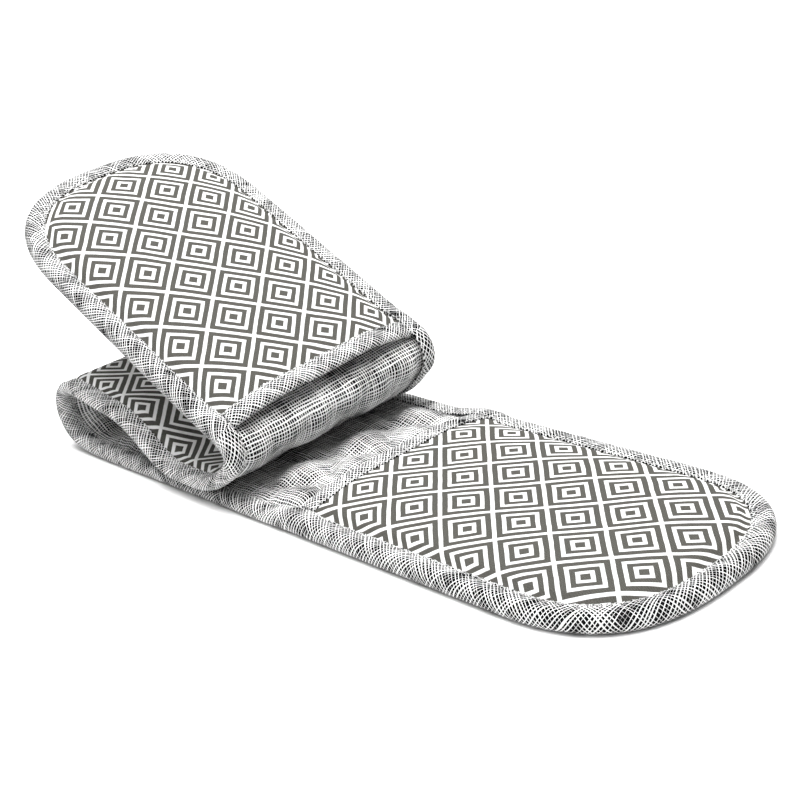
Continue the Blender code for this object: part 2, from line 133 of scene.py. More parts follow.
HALF_WIDTH = STRIP_WIDTH / 2
HALF_THICKNESS = STRIP_THICKNESS / 2
EDGE_HALF = HALF_THICKNESS - EDGE_DRAW_IN - CLEARANCE - TAPE_THICKNESS
LAYER_EDGE = TAPE_ROOM + CLEARANCE
SQUEEZE_START = TAPE_FACE + CLEARANCE
LANDED_HEIGHT = STRIP_THICKNESS + CLEARANCE + HALF_THICKNESS
MOUTH_LIFT = TAPE_THICKNESS + CLEARANCE + MOUTH_SLACK
SEAM_PLACE = TAPE_FACE - SEAM_DEPTH
SEAM_COVER = CLEARANCE + TAPE_THICKNESS - SEAM_GROOVE

# The cloth simulation of the quilted lining: its grid, its cloth with what is spare between the
# sewn lines, the upward pull that stands for the padding, and how many frames it settles for
SWELL_STEP = 0.0022
SWELL_SPARE = 0.11
SWELL_CLOTH = {
    "quality": 4, "mass": 0.1, "tension_stiffness": 12, "compression_stiffness": 12,
    "shear_stiffness": 4, "bending_stiffness": 0.05, "air_damping": 8,
    "shrink_min": -SWELL_SPARE, "shrink_max": -SWELL_SPARE,
}
SWELL_PULL = 40
SWELL_FRAMES = 20
SEAM_HALF = 0.0013
PUFF_FULLNESS = 0.75
PUFF_CAP = 0.0075
PUFF_IN_TOUCH = 0.0021

WAVE_HEIGHT = 0.7
WAVE_FULLNESS = 0.45

# How the puffs swell: the runs over which they rise beside a pocket and sink on the roll, the share
# that they lose there, and the free height from which, and over which, they have room to rise.
# On the lower glove the puffs share that height with one layer, and above it with two.
RISE_START = 0.002
RISE_RUN = 0.012
ROLL_RUN = 0.02
ROLL_LOSS = 0.6
FREE_START = 0.001
FREE_RUN = 0.008
SHARERS_BELOW = 2
SHARERS_ABOVE = 3
SAME_PLACE = 0.004
FREE_STATIONS = 1200

# Just over one row, so that a place on a grid's last row still has a row after it
LAST_ROW = 1.001

# Angles that a rounded end is measured at: round its edge, and for its area over a quarter
FINE_ANGLES = 2001
AREA_ANGLES = 200

# The usual hash of a lattice: the shares of a corner's two numbers and of the seed, and its factor
LATTICE_SHARES = (127.1, 311.7, 74.7)
LATTICE_FACTOR = 43758.5453

# Slow unevenness of a pocket's panel and the creases along its edge, as lengths of a swell
PANEL_SWELL = (0.045, 0.040)
PANEL_SWELL_HEIGHT = 0.0006
EDGE_CREASE = (0.014, 0.030)

# Points round a tape's section, and the lengths, seeds and shares of the swells along it
FACE_POINTS = 9
NOSE_POINTS = 14
HEM_FOLD = 0.0004
TAPE_PUFF_SWELL = 0.011
TAPE_PUFF_SEED = 21
TAPE_PUFF_UNEVENNESS = 0.5
HEM_SWELL = 0.009
HEM_SEED = 23
HEM_UNEVENNESS = 0.4
HEM_SHARPNESS = 3
RINGS_PER_STITCH = 4

# Sides and rings of one stitch, and the least and most of its size in length, width and height
STITCH_SIDES = 6
STITCH_RINGS = 4
STITCH_LEAST = (0.86, 0.85, 0.85)
STITCH_MOST = (1.10, 1.15, 1.15)

# Printed rings of a pattern cell, as shares of the cell from its centre, and how soft their edges are
RING_EDGE_SHARES = (0.090, 0.168, 0.271, 0.347, 0.460)
RING_SOFTNESS = 0.006

# How far the rings' edges stray and fray, and how many times that changes in a metre
RING_WOBBLE = 0.036
RING_WOBBLES = 55
RING_FRAY = 0.012
RING_FRAYS = 2600

# How far the print is turned on its cloth, and the tapes are cut off the straight of theirs
PRINT_TURN = 45
BIAS_TURN = 45

# Where a diamond is centred on the flat cloth of each printed piece, and the lower panel's slant
COVER_DIAMOND = (0.6251, -0.0059)
LOWER_PANEL_DIAMOND = (0.1344, -0.0111)
LOWER_PANEL_SLANT = 0.036
UPPER_PANEL_OFFSET = 0.1322

# The printed twill: the turn of its ribs, its ribs and specks to a metre and what each adds to its
# shade, the shades between which its grey changes, and the darkest and lightest share of the grey
TWILL_TURN = 20
TWILL_RIBS = 1400
TWILL_SPECKS = 1500
RIB_SHARE = 1.1
SPECK_SHARE = 0.9
TWILL_SHADES = (0.2, 1.2)
TWILL_DARK = 0.40
TWILL_LIGHT = 1.75

# Mean half width of the white threads, as a share of their pitch, what slubs and patches add to it
# and what those come to on the mean, and how soft the threads' edges are and how far they wander
LINING_THREADS = 0.145
TAPE_THREADS = 0.132
THREAD_SLUB = 0.30
THREAD_PATCHES = 0.42
THREAD_MEAN = 0.36
THREAD_SOFTNESS = 0.02
THREAD_WANDER = 1.2

# Noise of the threads: its shares along and across them, its scale and detail, and its seed's step
THREAD_NOISE = {
    "wander": (0.07, 0.42, 1.0, 2, 0),
    "slub": (0.12, 1.0, 0.83, 1, 4),
    "patches": (0.045, 0.20, 1.0, 1, 9),
}
WARP_SEED = 1.3
WEFT_SEED = 7.9

# How bright a thread is at least, how much brighter threads are where they cross, and how much
# and how finely their fibres vary them
THREAD_LEAST = 0.90
CROSSING_GAIN = 0.10
FIBRE_GAIN = 0.24
FIBRE_SCALE = 3.1

# Clumps of the felt and twists of the sewing thread to a metre, and the least and most of their shade
FELT_CLUMPS = 700
FELT_SHADES = (0.75, 1.15)
SEWING_TWISTS = 2500
SEWING_SHADES = (0.7, 1.2)

# Reliefs in metres, and the share of them that white threads and white print stand up
CROSSHATCH_RELIEF = 0.00018
TWILL_RELIEF = 0.00012
FELT_RELIEF = 0.0004
THREAD_RAISE = 0.6
PRINT_RAISE = 0.8

# The shine of all cloths, and the roughness and sheen of each
CLOTH_SHINE = 0.06
SHEEN_ROUGHNESS = 0.5
CROSSHATCH_FEEL = (0.88, 0.0)
DIAMOND_FEEL = (0.82, 0.04)
FELT_FEEL = (0.97, 0.2)
SEWING_FEEL = (0.6, 0.1)

# Points closer than this are one point, and edges that turn more degrees than this stay sharp
MERGE = 0.000002
SHARP_TURN = 50

# Camera, measured on the pattern cells of both pocket panels
CAMERA_PLACE = (0.6785, -0.5481, 0.4077)
CAMERA_RIGHT = (0.68159, 0.71809, -0.14064)
CAMERA_DOWN = (0.18942, -0.35879, -0.91400)
CAMERA_LENS = 69.3
CAMERA_SENSOR = 36

# How white the camera sees the floor near the glove, by a painted glow, how far off it fades to plain
# white, how near a thing has to be to keep the floor dark beside it and how strongly, which paints a
# contact shade by ambient occlusion, and the floor's own size, grey and roughness
FLOOR_GLOW = 0.42
FLOOR_FADE = (0.30, 0.75)
FLOOR_CONTACT = 0.014
FLOOR_CONTACT_POWER = 2.5
FLOOR_REACH = 6
FLOOR_GREY = 0.93
FLOOR_ROUGHNESS = 0.9

# The lamps: their places, what they face, and their sides
KEY_PLACE = (0.16, -0.1, 1.6)
KEY_TARGET = (0, 0, 0)
KEY_SIDE = 1.3
FILL_PLACE = (0.15, -1.3, 1.45)
FILL_TARGET = (0, 0, 0.05)
FILL_SIDE = 1.0


def length_of(name, description, value, least=0):
    """A length in metres for a property group."""
    return FloatProperty(name=name, description=description, default=value, min=least, unit="LENGTH")


def colour_of(name, description, value):
    """A colour for a property group."""
    return FloatVectorProperty(
        name=name, description=description, default=value, subtype="COLOR", size=3)


class GloveSizes(bpy.types.PropertyGroup):
    """Sizes of the cloth and its details."""

    grid_step: length_of(
        "Grid Step", "Distance between the mesh rows of the cloth", 0.0022, 0.001)
    pattern_cell: length_of("Pattern Cell", "Side of one printed diamond", 0.0296, 0.005)
    thread_pitch: length_of(
        "Thread Pitch", "Distance between the white threads of the lining", 0.0019, 0.0005)
    tape_thread_pitch: length_of(
        "Tape Thread Pitch", "Distance between the white threads of the tapes", 0.0018, 0.0005)
    tape_puff: length_of(
        "Tape Puff", "How far the binding swells between its stitches and the edge", 0.0006)
    pucker: length_of("Pucker", "Height of the small creases beside the stitches", 0.00035)
    hem_pull: length_of("Hem Pull", "How far each stitch draws the hem of a tape in", 0.0009)
    stitch_length: length_of("Stitch Length", "Length of one stitch", 0.0034, 0.0005)
    stitch_gap: length_of("Stitch Gap", "Space between two stitches", 0.0010)
    thread_width: length_of("Thread Width", "Width of the sewing thread", 0.00055, 0.0001)
    stitch_seed: IntProperty(
        name="Stitch Seed", description="Seed of the stitches' unevenness", default=4, min=0)


class GloveColours(bpy.types.PropertyGroup):
    """Colours of the cloths."""

    pattern_grey: colour_of("Pattern Grey", "Dark of the diamonds", (0.074, 0.072, 0.064))
    pattern_white: colour_of("Pattern White", "Light of the diamonds", (0.90, 0.90, 0.895))
    thread_black: colour_of(
        "Crosshatch Black", "Ground of the crosshatched cloth", (0.005, 0.005, 0.0055))
    thread_white: colour_of(
        "Crosshatch White", "Threads of the crosshatched cloth", (0.90, 0.90, 0.895))
    felt: colour_of("Felt", "Heat wadding", (0.72, 0.69, 0.62))
    stitches: colour_of("Stitches", "Sewing thread", (0.62, 0.62, 0.61))


class GloveStage(bpy.types.PropertyGroup):
    """Light of the stage."""

    key_power: FloatProperty(
        name="Key Power", description="Power of the large lamp above", default=49, min=0, unit="POWER")
    fill_power: FloatProperty(
        name="Fill Power", description="Power of the lamp in front", default=4, min=0,
        unit="POWER")
    sky_strength: FloatProperty(
        name="Sky Strength", description="Even light from all around", default=0.29, min=0)


def smooth(x):
    """0 below 0, 1 above 1, and an even ease between them."""
    x = np.clip(x, 0, 1)
    return x * x * (3 - 2 * x)


def lattice_value(i, j, seed):
    """A fixed value from -1 to 1 for each corner of a square lattice."""
    along, across, deep = LATTICE_SHARES
    wave = np.sin(i * along + j * across + seed * deep)
    return np.modf(np.abs(wave * LATTICE_FACTOR))[0] * 2 - 1


def between_corners(corners, a, b):
    """Between the four values round a square, a of the way along it and b across."""
    low = corners[0] * (1 - a) + corners[1] * a
    high = corners[2] * (1 - a) + corners[3] * a
    return low * (1 - b) + high * b


def swell(x, y, seed):
    """Smooth unevenness from -1 to 1 over a plane, with about one swell to a unit."""
    i = np.floor(x)
    j = np.floor(y)
    corners = [lattice_value(i + along, j + across, seed) for across in (0, 1) for along in (0, 1)]
    return between_corners(corners, smooth(x - i), smooth(y - j))


class FoldPath:
    """The middle surface of the strip, seen from the side: runs and arcs end to end.

    It sets out towards -x, flat on the table.
    """

    def __init__(self):
        self.parts = []
        self.s = 0
        self.x = 0
        self.z = HALF_THICKNESS
        self.heading = math.pi

    def run(self, length):
        """Goes straight on, and gives the length so far."""
        self.parts.append((self.s, self.x, self.z, self.heading, 0))
        self.s += length
        self.x += length * math.cos(self.heading)
        self.z += length * math.sin(self.heading)
        return self.s

    def arc(self, radius, turn_degrees):
        """Turns left for a positive turn and right for a negative one."""
        turn = math.radians(turn_degrees)
        length = radius * abs(turn)
        curve = turn / length
        self.parts.append((self.s, self.x, self.z, self.heading, curve))
        end = self.heading + turn
        self.x += (math.sin(end) - math.sin(self.heading)) / curve
        self.z -= (math.cos(end) - math.cos(self.heading)) / curve
        self.s += length
        self.heading = end
        return self.s

    def descend_to(self, height, landing_radius):
        """A straight run that ends where an arc can level out at the height, then that arc."""
        slope = -self.heading
        drop = landing_radius * (1 - math.cos(slope))
        self.run((self.z - drop - height) / math.sin(slope))
        return self.arc(landing_radius, math.degrees(slope))

    def at(self, s):
        """x, z and heading of the middle surface at each s. The ends run on straight."""
        table = np.array(self.parts)
        k = np.clip(np.searchsorted(table[:, 0], s, side="right") - 1, 0, len(table) - 1)
        start, x, z, heading, curve = np.moveaxis(table[k], -1, 0)
        along = s - start
        straight = (curve == 0) | (along < 0)
        safe = np.where(straight, 1, curve)
        end = np.where(straight, heading, heading + along * curve)
        turned_x = x + (np.sin(end) - np.sin(heading)) / safe
        turned_z = z - (np.cos(end) - np.cos(heading)) / safe
        return (np.where(straight, x + along * np.cos(heading), turned_x),
                np.where(straight, z + along * np.sin(heading), turned_z), end)


path = FoldPath()
LOWER_END = path.run(LOWER_RUN)
path.arc(RISE_RADIUS, -RISE_TURN)
LEFT_FOLD_END = path.arc(LEFT_FOLD_RADIUS, -LEFT_FOLD_TURN)
path.run(RETURN_RUN)
path.arc(DIP_RADIUS, -DIP_TURN)
path.descend_to(LANDED_HEIGHT, LANDING_RADIUS)
LANDED_END = path.run(LANDED_RUN)
path.arc(ROLL_RADIUS, ROLL_TURN)
UPPER_START = path.arc(ROLL_TOP_RADIUS, ROLL_TOP_TURN)
STRIP_LENGTH = path.run(POCKET_LENGTH)
MIDDLE_START = LEFT_FOLD_END + LEFT_EASE
MIDDLE_END = LANDED_END - RIGHT_EASE

# Each stretch: its name, where it starts and ends, and the bodies that it follows
STRETCHES = (
    ("lower", 0, LOWER_END, ("lower_glove",)),
    ("left_fold", LOWER_END, MIDDLE_START, ("lower_glove", "middle_run")),
    ("middle", MIDDLE_START, MIDDLE_END, ("middle_run",)),
    ("right_fold", MIDDLE_END, UPPER_START, ("middle_run", "upper_glove")),
    ("upper", UPPER_START, STRIP_LENGTH, ("upper_glove",)),
)


def drift(s):
    """How far the upper layers lie towards the viewer, since the strip isn't folded quite square."""
    return -UPPER_SHIFT * smooth((s - LOWER_END) / (UPPER_START - LOWER_END))


def lean(s):
    """How steeply the strip rises across itself, away from the viewer: the upper glove is twisted."""
    return math.tan(math.radians(UPPER_TWIST)) * smooth((s - LANDED_END) / (UPPER_START - LANDED_END))


def strip_point(s, v, n):
    """The places of points s along, v across and n off the middle surface, one in each row."""
    s, v, n = np.broadcast_arrays(np.asarray(s, float), v, n)
    x, z, heading = path.at(s)
    return np.stack([x + n * np.sin(heading) + FRAME_SHIFT[0], v + drift(s) + FRAME_SHIFT[1],
                     z - n * np.cos(heading) + v * lean(s) + FRAME_SHIFT[2]], axis=-1)


def squeeze(d):
    """0 under the binding, d from the edge of the strip, and 1 where the padding is full."""
    return smooth((d - SQUEEZE_START) / SQUEEZE_RUN)


def strip_half(d):
    """Half the thickness of the cover, wadding and lining together."""
    nose = NOSE_ROUNDING * (1 - smooth(d / NOSE_DEPTH))
    return EDGE_HALF - nose + (HALF_THICKNESS - EDGE_HALF) * squeeze(d)


def quilt_phases(s, v):
    """How many sewn lines of each of the two ways lie before a place. They cross at whole numbers."""
    across = (v - QUILT_ACROSS / 4) / QUILT_ACROSS
    along = (s - QUILT_START) / QUILT_ALONG
    return along + across, along - across


def swollen_cloth(s, v):
    """Heights that a cloth sewn down on the quilting lines takes over a grid, with padding under it."""
    rows, columns = s.shape
    mesh = bpy.data.meshes.new("quilting")
    points = np.stack([s, v, np.zeros_like(s)], axis=-1).reshape(-1, 3)
    mesh.from_pydata(points.tolist(), [], grid_faces(rows, columns))
    cloth = bpy.data.objects.new("quilting", mesh)
    scene = bpy.context.scene
    scene.collection.objects.link(cloth)
    line_step = 1 / math.hypot(1 / QUILT_ALONG, 1 / QUILT_ACROSS)
    sewn = np.zeros((rows, columns), bool)
    for phase in quilt_phases(s, v):
        sewn |= np.abs(phase - np.round(phase)) * line_step < SEAM_HALF
    sewn[[0, -1]] = True
    sewn[:, [0, -1]] = True
    group = cloth.vertex_groups.new(name="sewn")
    group.add(np.flatnonzero(sewn).tolist(), 1, "REPLACE")
    modifier = cloth.modifiers.new("swell", "CLOTH")
    modifier.point_cache.frame_start = 1
    modifier.point_cache.frame_end = SWELL_FRAMES
    settings = modifier.settings
    settings.vertex_group_mass = "sewn"
    for word, value in SWELL_CLOTH.items():
        setattr(settings, word, value)
    modifier.collision_settings.use_collision = False
    gravity = scene.gravity.copy()
    scene.gravity = (0, 0, SWELL_PULL)
    for frame_number in range(1, SWELL_FRAMES + 1):
        scene.frame_set(frame_number)
    settled = cloth.evaluated_get(bpy.context.evaluated_depsgraph_get()).to_mesh()
    places = np.zeros(len(settled.vertices) * 3)
    settled.vertices.foreach_get("co", places)
    scene.gravity = gravity
    scene.frame_set(1)
    bpy.data.objects.remove(cloth)
    bpy.data.meshes.remove(mesh)
    heights = places.reshape(rows, columns, 3)[:, :, 2]
    for axis in (0, 1):
        heights = heights / 2 + (np.roll(heights, 1, axis) + np.roll(heights, -1, axis)) / 4
    return PUFF_CAP * np.clip(heights / PUFF_CAP, 0, 1) ** PUFF_FULLNESS


def free_height(s):
    """The height of the empty space over the lining, which the layers folded onto it leave."""
    stations = np.linspace(0, STRIP_LENGTH, FREE_STATIONS)
    x, z, heading = path.at(stations)
    table = np.ones_like(stations)
    lower = stations < LOWER_END
    above = (stations > LEFT_FOLD_END) & (stations < UPPER_START)
    near = np.abs(x[lower][:, None] - x[above][None, :]) < SAME_PLACE
    gap = np.where(near, z[above][None, :] - z[lower][:, None] - STRIP_THICKNESS, 1)
    table[lower] = gap.min(axis=1)
    table[above] = gap.min(axis=0)
    return np.interp(s, stations, table)


class Quilting:
    def __init__(self):
        reach = HALF_WIDTH - SQUEEZE_START
        self.s = even(POCKET_LENGTH - TAPE_FACE, UPPER_START, SWELL_STEP)
        self.v = even(-reach, reach, SWELL_STEP)
        s, v = np.meshgrid(self.s, self.v, indexing="ij")
        self.heights = swollen_cloth(s, v)

    def wave(self, s, v):
        """Plain puffs between the sewn lines."""
        first, second = quilt_phases(s, v)
        puff = np.abs(np.sin(math.pi * first) * np.sin(math.pi * second))
        return PUFF_CAP * WAVE_HEIGHT * puff ** WAVE_FULLNESS

    def puff(self, s, v):
        """Height over the sewn lines: the cloth's between the pockets, and a wave's under them."""
        row = np.clip((s - self.s[0]) / (self.s[1] - self.s[0]), 0, len(self.s) - LAST_ROW)
        column = np.clip((v - self.v[0]) / (self.v[1] - self.v[0]), 0, len(self.v) - LAST_ROW)
        i = row.astype(int)
        j = column.astype(int)
        corners = [self.heights[i + along, j + across] for across in (0, 1) for along in (0, 1)]
        inside = (s > self.s[0]) & (s < self.s[-1])
        return np.where(inside, between_corners(corners, row - i, column - j), self.wave(s, v))

    def rise(self, s):
        """1 where the puffs are free to swell, and 0 where a pocket or a folded layer lies on them."""
        past_lower = smooth((s - POCKET_LENGTH + RISE_START) / RISE_RUN)
        before_upper = smooth((UPPER_START - s) / RISE_RUN)
        on_roll = smooth((s - LANDED_END) / ROLL_RUN)
        free = free_height(s) / np.where(s < LOWER_END, SHARERS_BELOW, SHARERS_ABOVE)
        room = smooth((free - FREE_START) / FREE_RUN)
        return past_lower * before_upper * room * (1 - ROLL_LOSS * on_roll)

    def top(self, s, v, d):
        """The lining's outer level."""
        share = PUFF_IN_TOUCH / PUFF_CAP
        puff = self.puff(s, v) * (share + (1 - share) * self.rise(s))
        return strip_half(d) + squeeze(d) * (puff - QUILT_DEPTH)


def lining_under(s, v, d):
    """The lining's level against the wadding."""
    return strip_half(d) - LINING_CLOTH - LINING_PUFF * squeeze(d)


def cover_under(s, v, d):
    """The cover's outer level."""
    return -strip_half(d)


def cover_top(s, v, d):
    """The cover's level against the wadding."""
    return COVER_CLOTH - strip_half(d)


def wadding_under(s, v, d):
    """The wadding's level over the cover."""
    return cover_top(s, v, d) + CLEARANCE


def wadding_top(s, v, d):
    """The wadding's level under the lining."""
    return lining_under(s, v, d) - CLEARANCE


class Pocket:
    """The padded panel of one glove, from the strip's tip to the mouth, over a hollow."""

    def __init__(self, word, tip, step, tip_crown, mouth_crown, seed):
        self.word = word
        self.tip = tip
        self.step = step
        self.tip_crown = tip_crown
        self.mouth_crown = mouth_crown
        self.mouth = tip + step * POCKET_LENGTH
        self.seed = seed

    def from_mouth(self, s):
        """How far a place lies from the mouth towards the tip."""
        return (self.mouth - s) * self.step

    def cut(self, first, last):
        """The cut end of a stretch whose other end is this pocket's tip."""
        return last if self.step > 0 else first

    def side(self, end, step):
        """Places along the straight side, from where the tip's rounding begins to an end."""
        return even(self.tip + self.step * END_LENGTH, end, step)

    def hollow(self, s, d):
        """The room for the hand under the pocket: low at its sides and tip, and high at its mouth."""
        depth = np.clip(self.from_mouth(s) / POCKET_LENGTH, 0, 1)
        crown = self.mouth_crown + (self.tip_crown - self.mouth_crown) * depth
        return crown * np.sin(math.pi / 2 * np.clip((d - SQUEEZE_START) / CROWN_RUN, 0, 1))

    def lining_under(self, s, v, d):
        """The level over the hand's room, raised at the mouth to make way for its tape."""
        near_mouth = 1 - smooth((self.from_mouth(s) - TAPE_FACE) / MOUTH_LIFT_RUN)
        lift = MOUTH_LIFT * near_mouth * (1 - squeeze(d) / 2)
        return strip_half(d) + CLEARANCE + self.hollow(s, d) + lift + self.slack(s, v, d)

    def slack(self, s, v, d):
        """The slow unevenness of a panel, which all its layers share."""
        inside = smooth((d - SQUEEZE_START) / CROWN_RUN)
        edge = squeeze(d) * (1 - smooth((d - SQUEEZE_START) / PUCKER_RUN))
        slow = swell(s / PANEL_SWELL[0], v / PANEL_SWELL[1], self.seed) * inside * PANEL_SWELL_HEIGHT
        pucker = bpy.context.scene.glove_sizes.pucker
        return slow + pucker * edge * swell(s / EDGE_CREASE[0], v / EDGE_CREASE[1], self.seed + 1)

    def lining_top(self, s, v, d):
        """The pocket lining's level against its wadding."""
        return self.lining_under(s, v, d) + POCKET_CLOTH

    def wadding_under(self, s, v, d):
        """The pocket wadding's level over its lining."""
        return self.lining_top(s, v, d) + CLEARANCE

    def wadding_top(self, s, v, d):
        """The pocket wadding's level under the panel, thin at its edges and at the mouth."""
        full = smooth((np.minimum(d, self.from_mouth(s)) - SQUEEZE_START) / POCKET_WADDING_RUN)
        thickness = POCKET_WADDING_EDGE + (POCKET_WADDING - POCKET_WADDING_EDGE) * full
        return self.wadding_under(s, v, d) + thickness

    def cover_under(self, s, v, d):
        """The panel's level over the wadding."""
        return self.wadding_top(s, v, d) + CLEARANCE

    def cover_top(self, s, v, d):
        """The panel's outer level."""
        return self.cover_under(s, v, d) + POCKET_CLOTH


LOWER_POCKET = Pocket("lower", 0, 1, LOWER_TIP_CROWN, LOWER_MOUTH_CROWN, seed=11)
UPPER_POCKET = Pocket("upper", STRIP_LENGTH, -1, UPPER_TIP_CROWN, UPPER_MOUTH_CROWN, seed=17)
POCKETS = {"lower": LOWER_POCKET, "upper": UPPER_POCKET}


def stack_top(pocket):
    """The level under the edge binding: the pocket's, easing down past its mouth to the strip's."""

    def level(s, v, d):
        plain = strip_half(d)
        if pocket is None:
            return plain
        past = -pocket.from_mouth(s)
        on_pocket = pocket.cover_top(np.where(past > 0, pocket.mouth, s), v, d)
        return plain + (on_pocket - plain) * (1 - np.clip(past / TAPE_DROP_RUN, 0, 1))

    return level


def even(first, last, step):
    """Places from first to last, evenly, no further apart than the step."""
    count = max(1, math.ceil(abs(last - first) / step))
    return np.linspace(first, last, count + 1)


def depth_columns(step):
    """Depths from the layers' edge in to the centre line, close together where the padding swells."""
    edge = even(LAYER_EDGE, SQUEEZE_START, step)
    rise = even(SQUEEZE_START, SQUEEZE_START + SQUEEZE_RUN, step / 3)
    inside = even(SQUEEZE_START + SQUEEZE_RUN, HALF_WIDTH, step)
    return np.concatenate([edge[:-1], rise[:-1], inside])


def lengths_along(x, y):
    """How far along a line of points each of them lies."""
    return np.concatenate([[0], np.cumsum(np.hypot(np.diff(x), np.diff(y)))])


def end_place(tip, step, d, angle):
    """Places s and v in the rounded end of the strip, d in from its edge: angle 0 is the tip."""
    share = 1 - d / HALF_WIDTH
    power = 2 / END_SQUARENESS
    out = np.abs(np.cos(angle)) ** power
    side = np.sign(np.sin(angle)) * np.abs(np.sin(angle)) ** power
    return tip + step * END_LENGTH * (1 - share * out), HALF_WIDTH * share * side


def end_angles(step_length):
    """Angles round the end, which put its edge points at even distances."""
    fine = np.linspace(math.pi / 2, -math.pi / 2, FINE_ANGLES)
    length = lengths_along(*end_place(0, 1, np.zeros_like(fine), fine))
    count = math.ceil(length[-1] / step_length)
    return np.interp(np.linspace(0, length[-1], count + 1)[1:-1], length, fine)


def end_grid(pocket, stations, step):
    """Grids of s, v and depth along one side, round the tip and back, from the edge to the middle.

    The stations are the s values of the straight side, from the tip's end outward.
    """
    columns = depth_columns(step)
    d_side = np.broadcast_to(columns, (len(stations), len(columns)))
    s_side = np.broadcast_to(stations[:, None], d_side.shape)
    angles = end_angles(step)
    d_end = np.broadcast_to(columns, (len(angles), len(columns)))
    s_end, v_end = end_place(pocket.tip, pocket.step, d_end, angles[:, None])
    s = np.concatenate([s_side[::-1], s_end, s_side])
    v = np.concatenate([HALF_WIDTH - d_side, v_end, d_side - HALF_WIDTH])
    return s, v, np.concatenate([d_side, d_end, d_side])


def cross_grid(stations, step):
    """Grids of s, v and depth right across the strip, from the far edge to the near one."""
    columns = depth_columns(step)
    v = np.concatenate([HALF_WIDTH - columns, (columns - HALF_WIDTH)[-2::-1]])
    d = np.concatenate([columns, columns[-2::-1]])
    shape = (len(stations), len(v))
    return (np.broadcast_to(stations[:, None], shape), np.broadcast_to(v, shape),
            np.broadcast_to(d, shape))


def make_piece(name, points, faces, uv, material):
    """A closed mesh with its own map of the cloth, its doubles merged and its faces outward."""
    mesh = bpy.data.meshes.new(name)
    mesh.from_pydata(points.tolist(), [], faces)
    corner = np.zeros(len(mesh.loops), int)
    mesh.loops.foreach_get("vertex_index", corner)
    layer = mesh.uv_layers.new(name="cloth")
    layer.data.foreach_set("uv", np.asarray(uv, np.float32)[corner].ravel())
    work = bmesh.new()
    work.from_mesh(mesh)
    bmesh.ops.remove_doubles(work, verts=work.verts, dist=MERGE)
    bmesh.ops.recalc_face_normals(work, faces=work.faces)
    work.to_mesh(mesh)
    work.free()
    mesh.shade_smooth()
    mesh.set_sharp_from_angle(angle=math.radians(SHARP_TURN))
    mesh.materials.append(material)
    piece = bpy.data.objects.new(name, mesh)
    bpy.context.scene.collection.objects.link(piece)
    return piece


def grid_faces(rows, columns, start=0, flip=False):
    """Quads of a grid of points that are stored row by row."""
    a = start + (np.arange(rows - 1)[:, None] * columns + np.arange(columns - 1)).ravel()
    faces = np.stack([a, a + 1, a + 1 + columns, a + columns], axis=1)
    return (faces[:, ::-1] if flip else faces).tolist()


def flat_cloth(s, v, points):
    """Where an end's points lie on its flat cloth: its swelling takes up length from the middle out."""
    steps = np.linalg.norm(np.diff(points, axis=1), axis=2)
    plain = np.hypot(np.diff(s, axis=1), np.diff(v, axis=1))
    length = np.cumsum(steps[:, ::-1], axis=1)[:, ::-1]
    reach = np.cumsum(plain[:, ::-1], axis=1)[:, ::-1]
    stretch = np.ones_like(s)
    stretch[:, :-1] = length / reach
    middle_s = s[:, -1:]
    return middle_s + (s - middle_s) * stretch, v * stretch


def slab(name, grid, under, top, material, closed_middle):
    """A layer between two levels over a grid, walled at its outer sides."""
    s, v, d = grid
    rows, columns = s.shape
    flat = rows * columns
    points = np.concatenate([strip_point(s, v, level(s, v, d)).reshape(-1, 3) for level in (under, top)])
    faces = grid_faces(rows, columns, 0, True) + grid_faces(rows, columns, flat)
    first = np.arange(rows) * columns
    rims = [first, np.arange(columns), (rows - 1) * columns + np.arange(columns)]
    if not closed_middle:
        rims.append(first + columns - 1)
    for rim in rims:
        wall = np.stack([rim[:-1], rim[1:], flat + rim[1:], flat + rim[:-1]], axis=1)
        faces += wall.tolist()
    laid = flat_cloth(s, v, points[flat:].reshape(rows, columns, 3)) if closed_middle else (s, v)
    uv = np.tile(np.stack([part.ravel() for part in laid], axis=1), (2, 1))
    return make_piece(name, points, faces, uv, material)


def tape_bulge(d):
    """How much of its swelling a tape has at a depth: none at its seam, most halfway to the edge."""
    return math.sin(math.pi * min(max((SEAM_PLACE - d) / SEAM_PLACE, 0), 1))


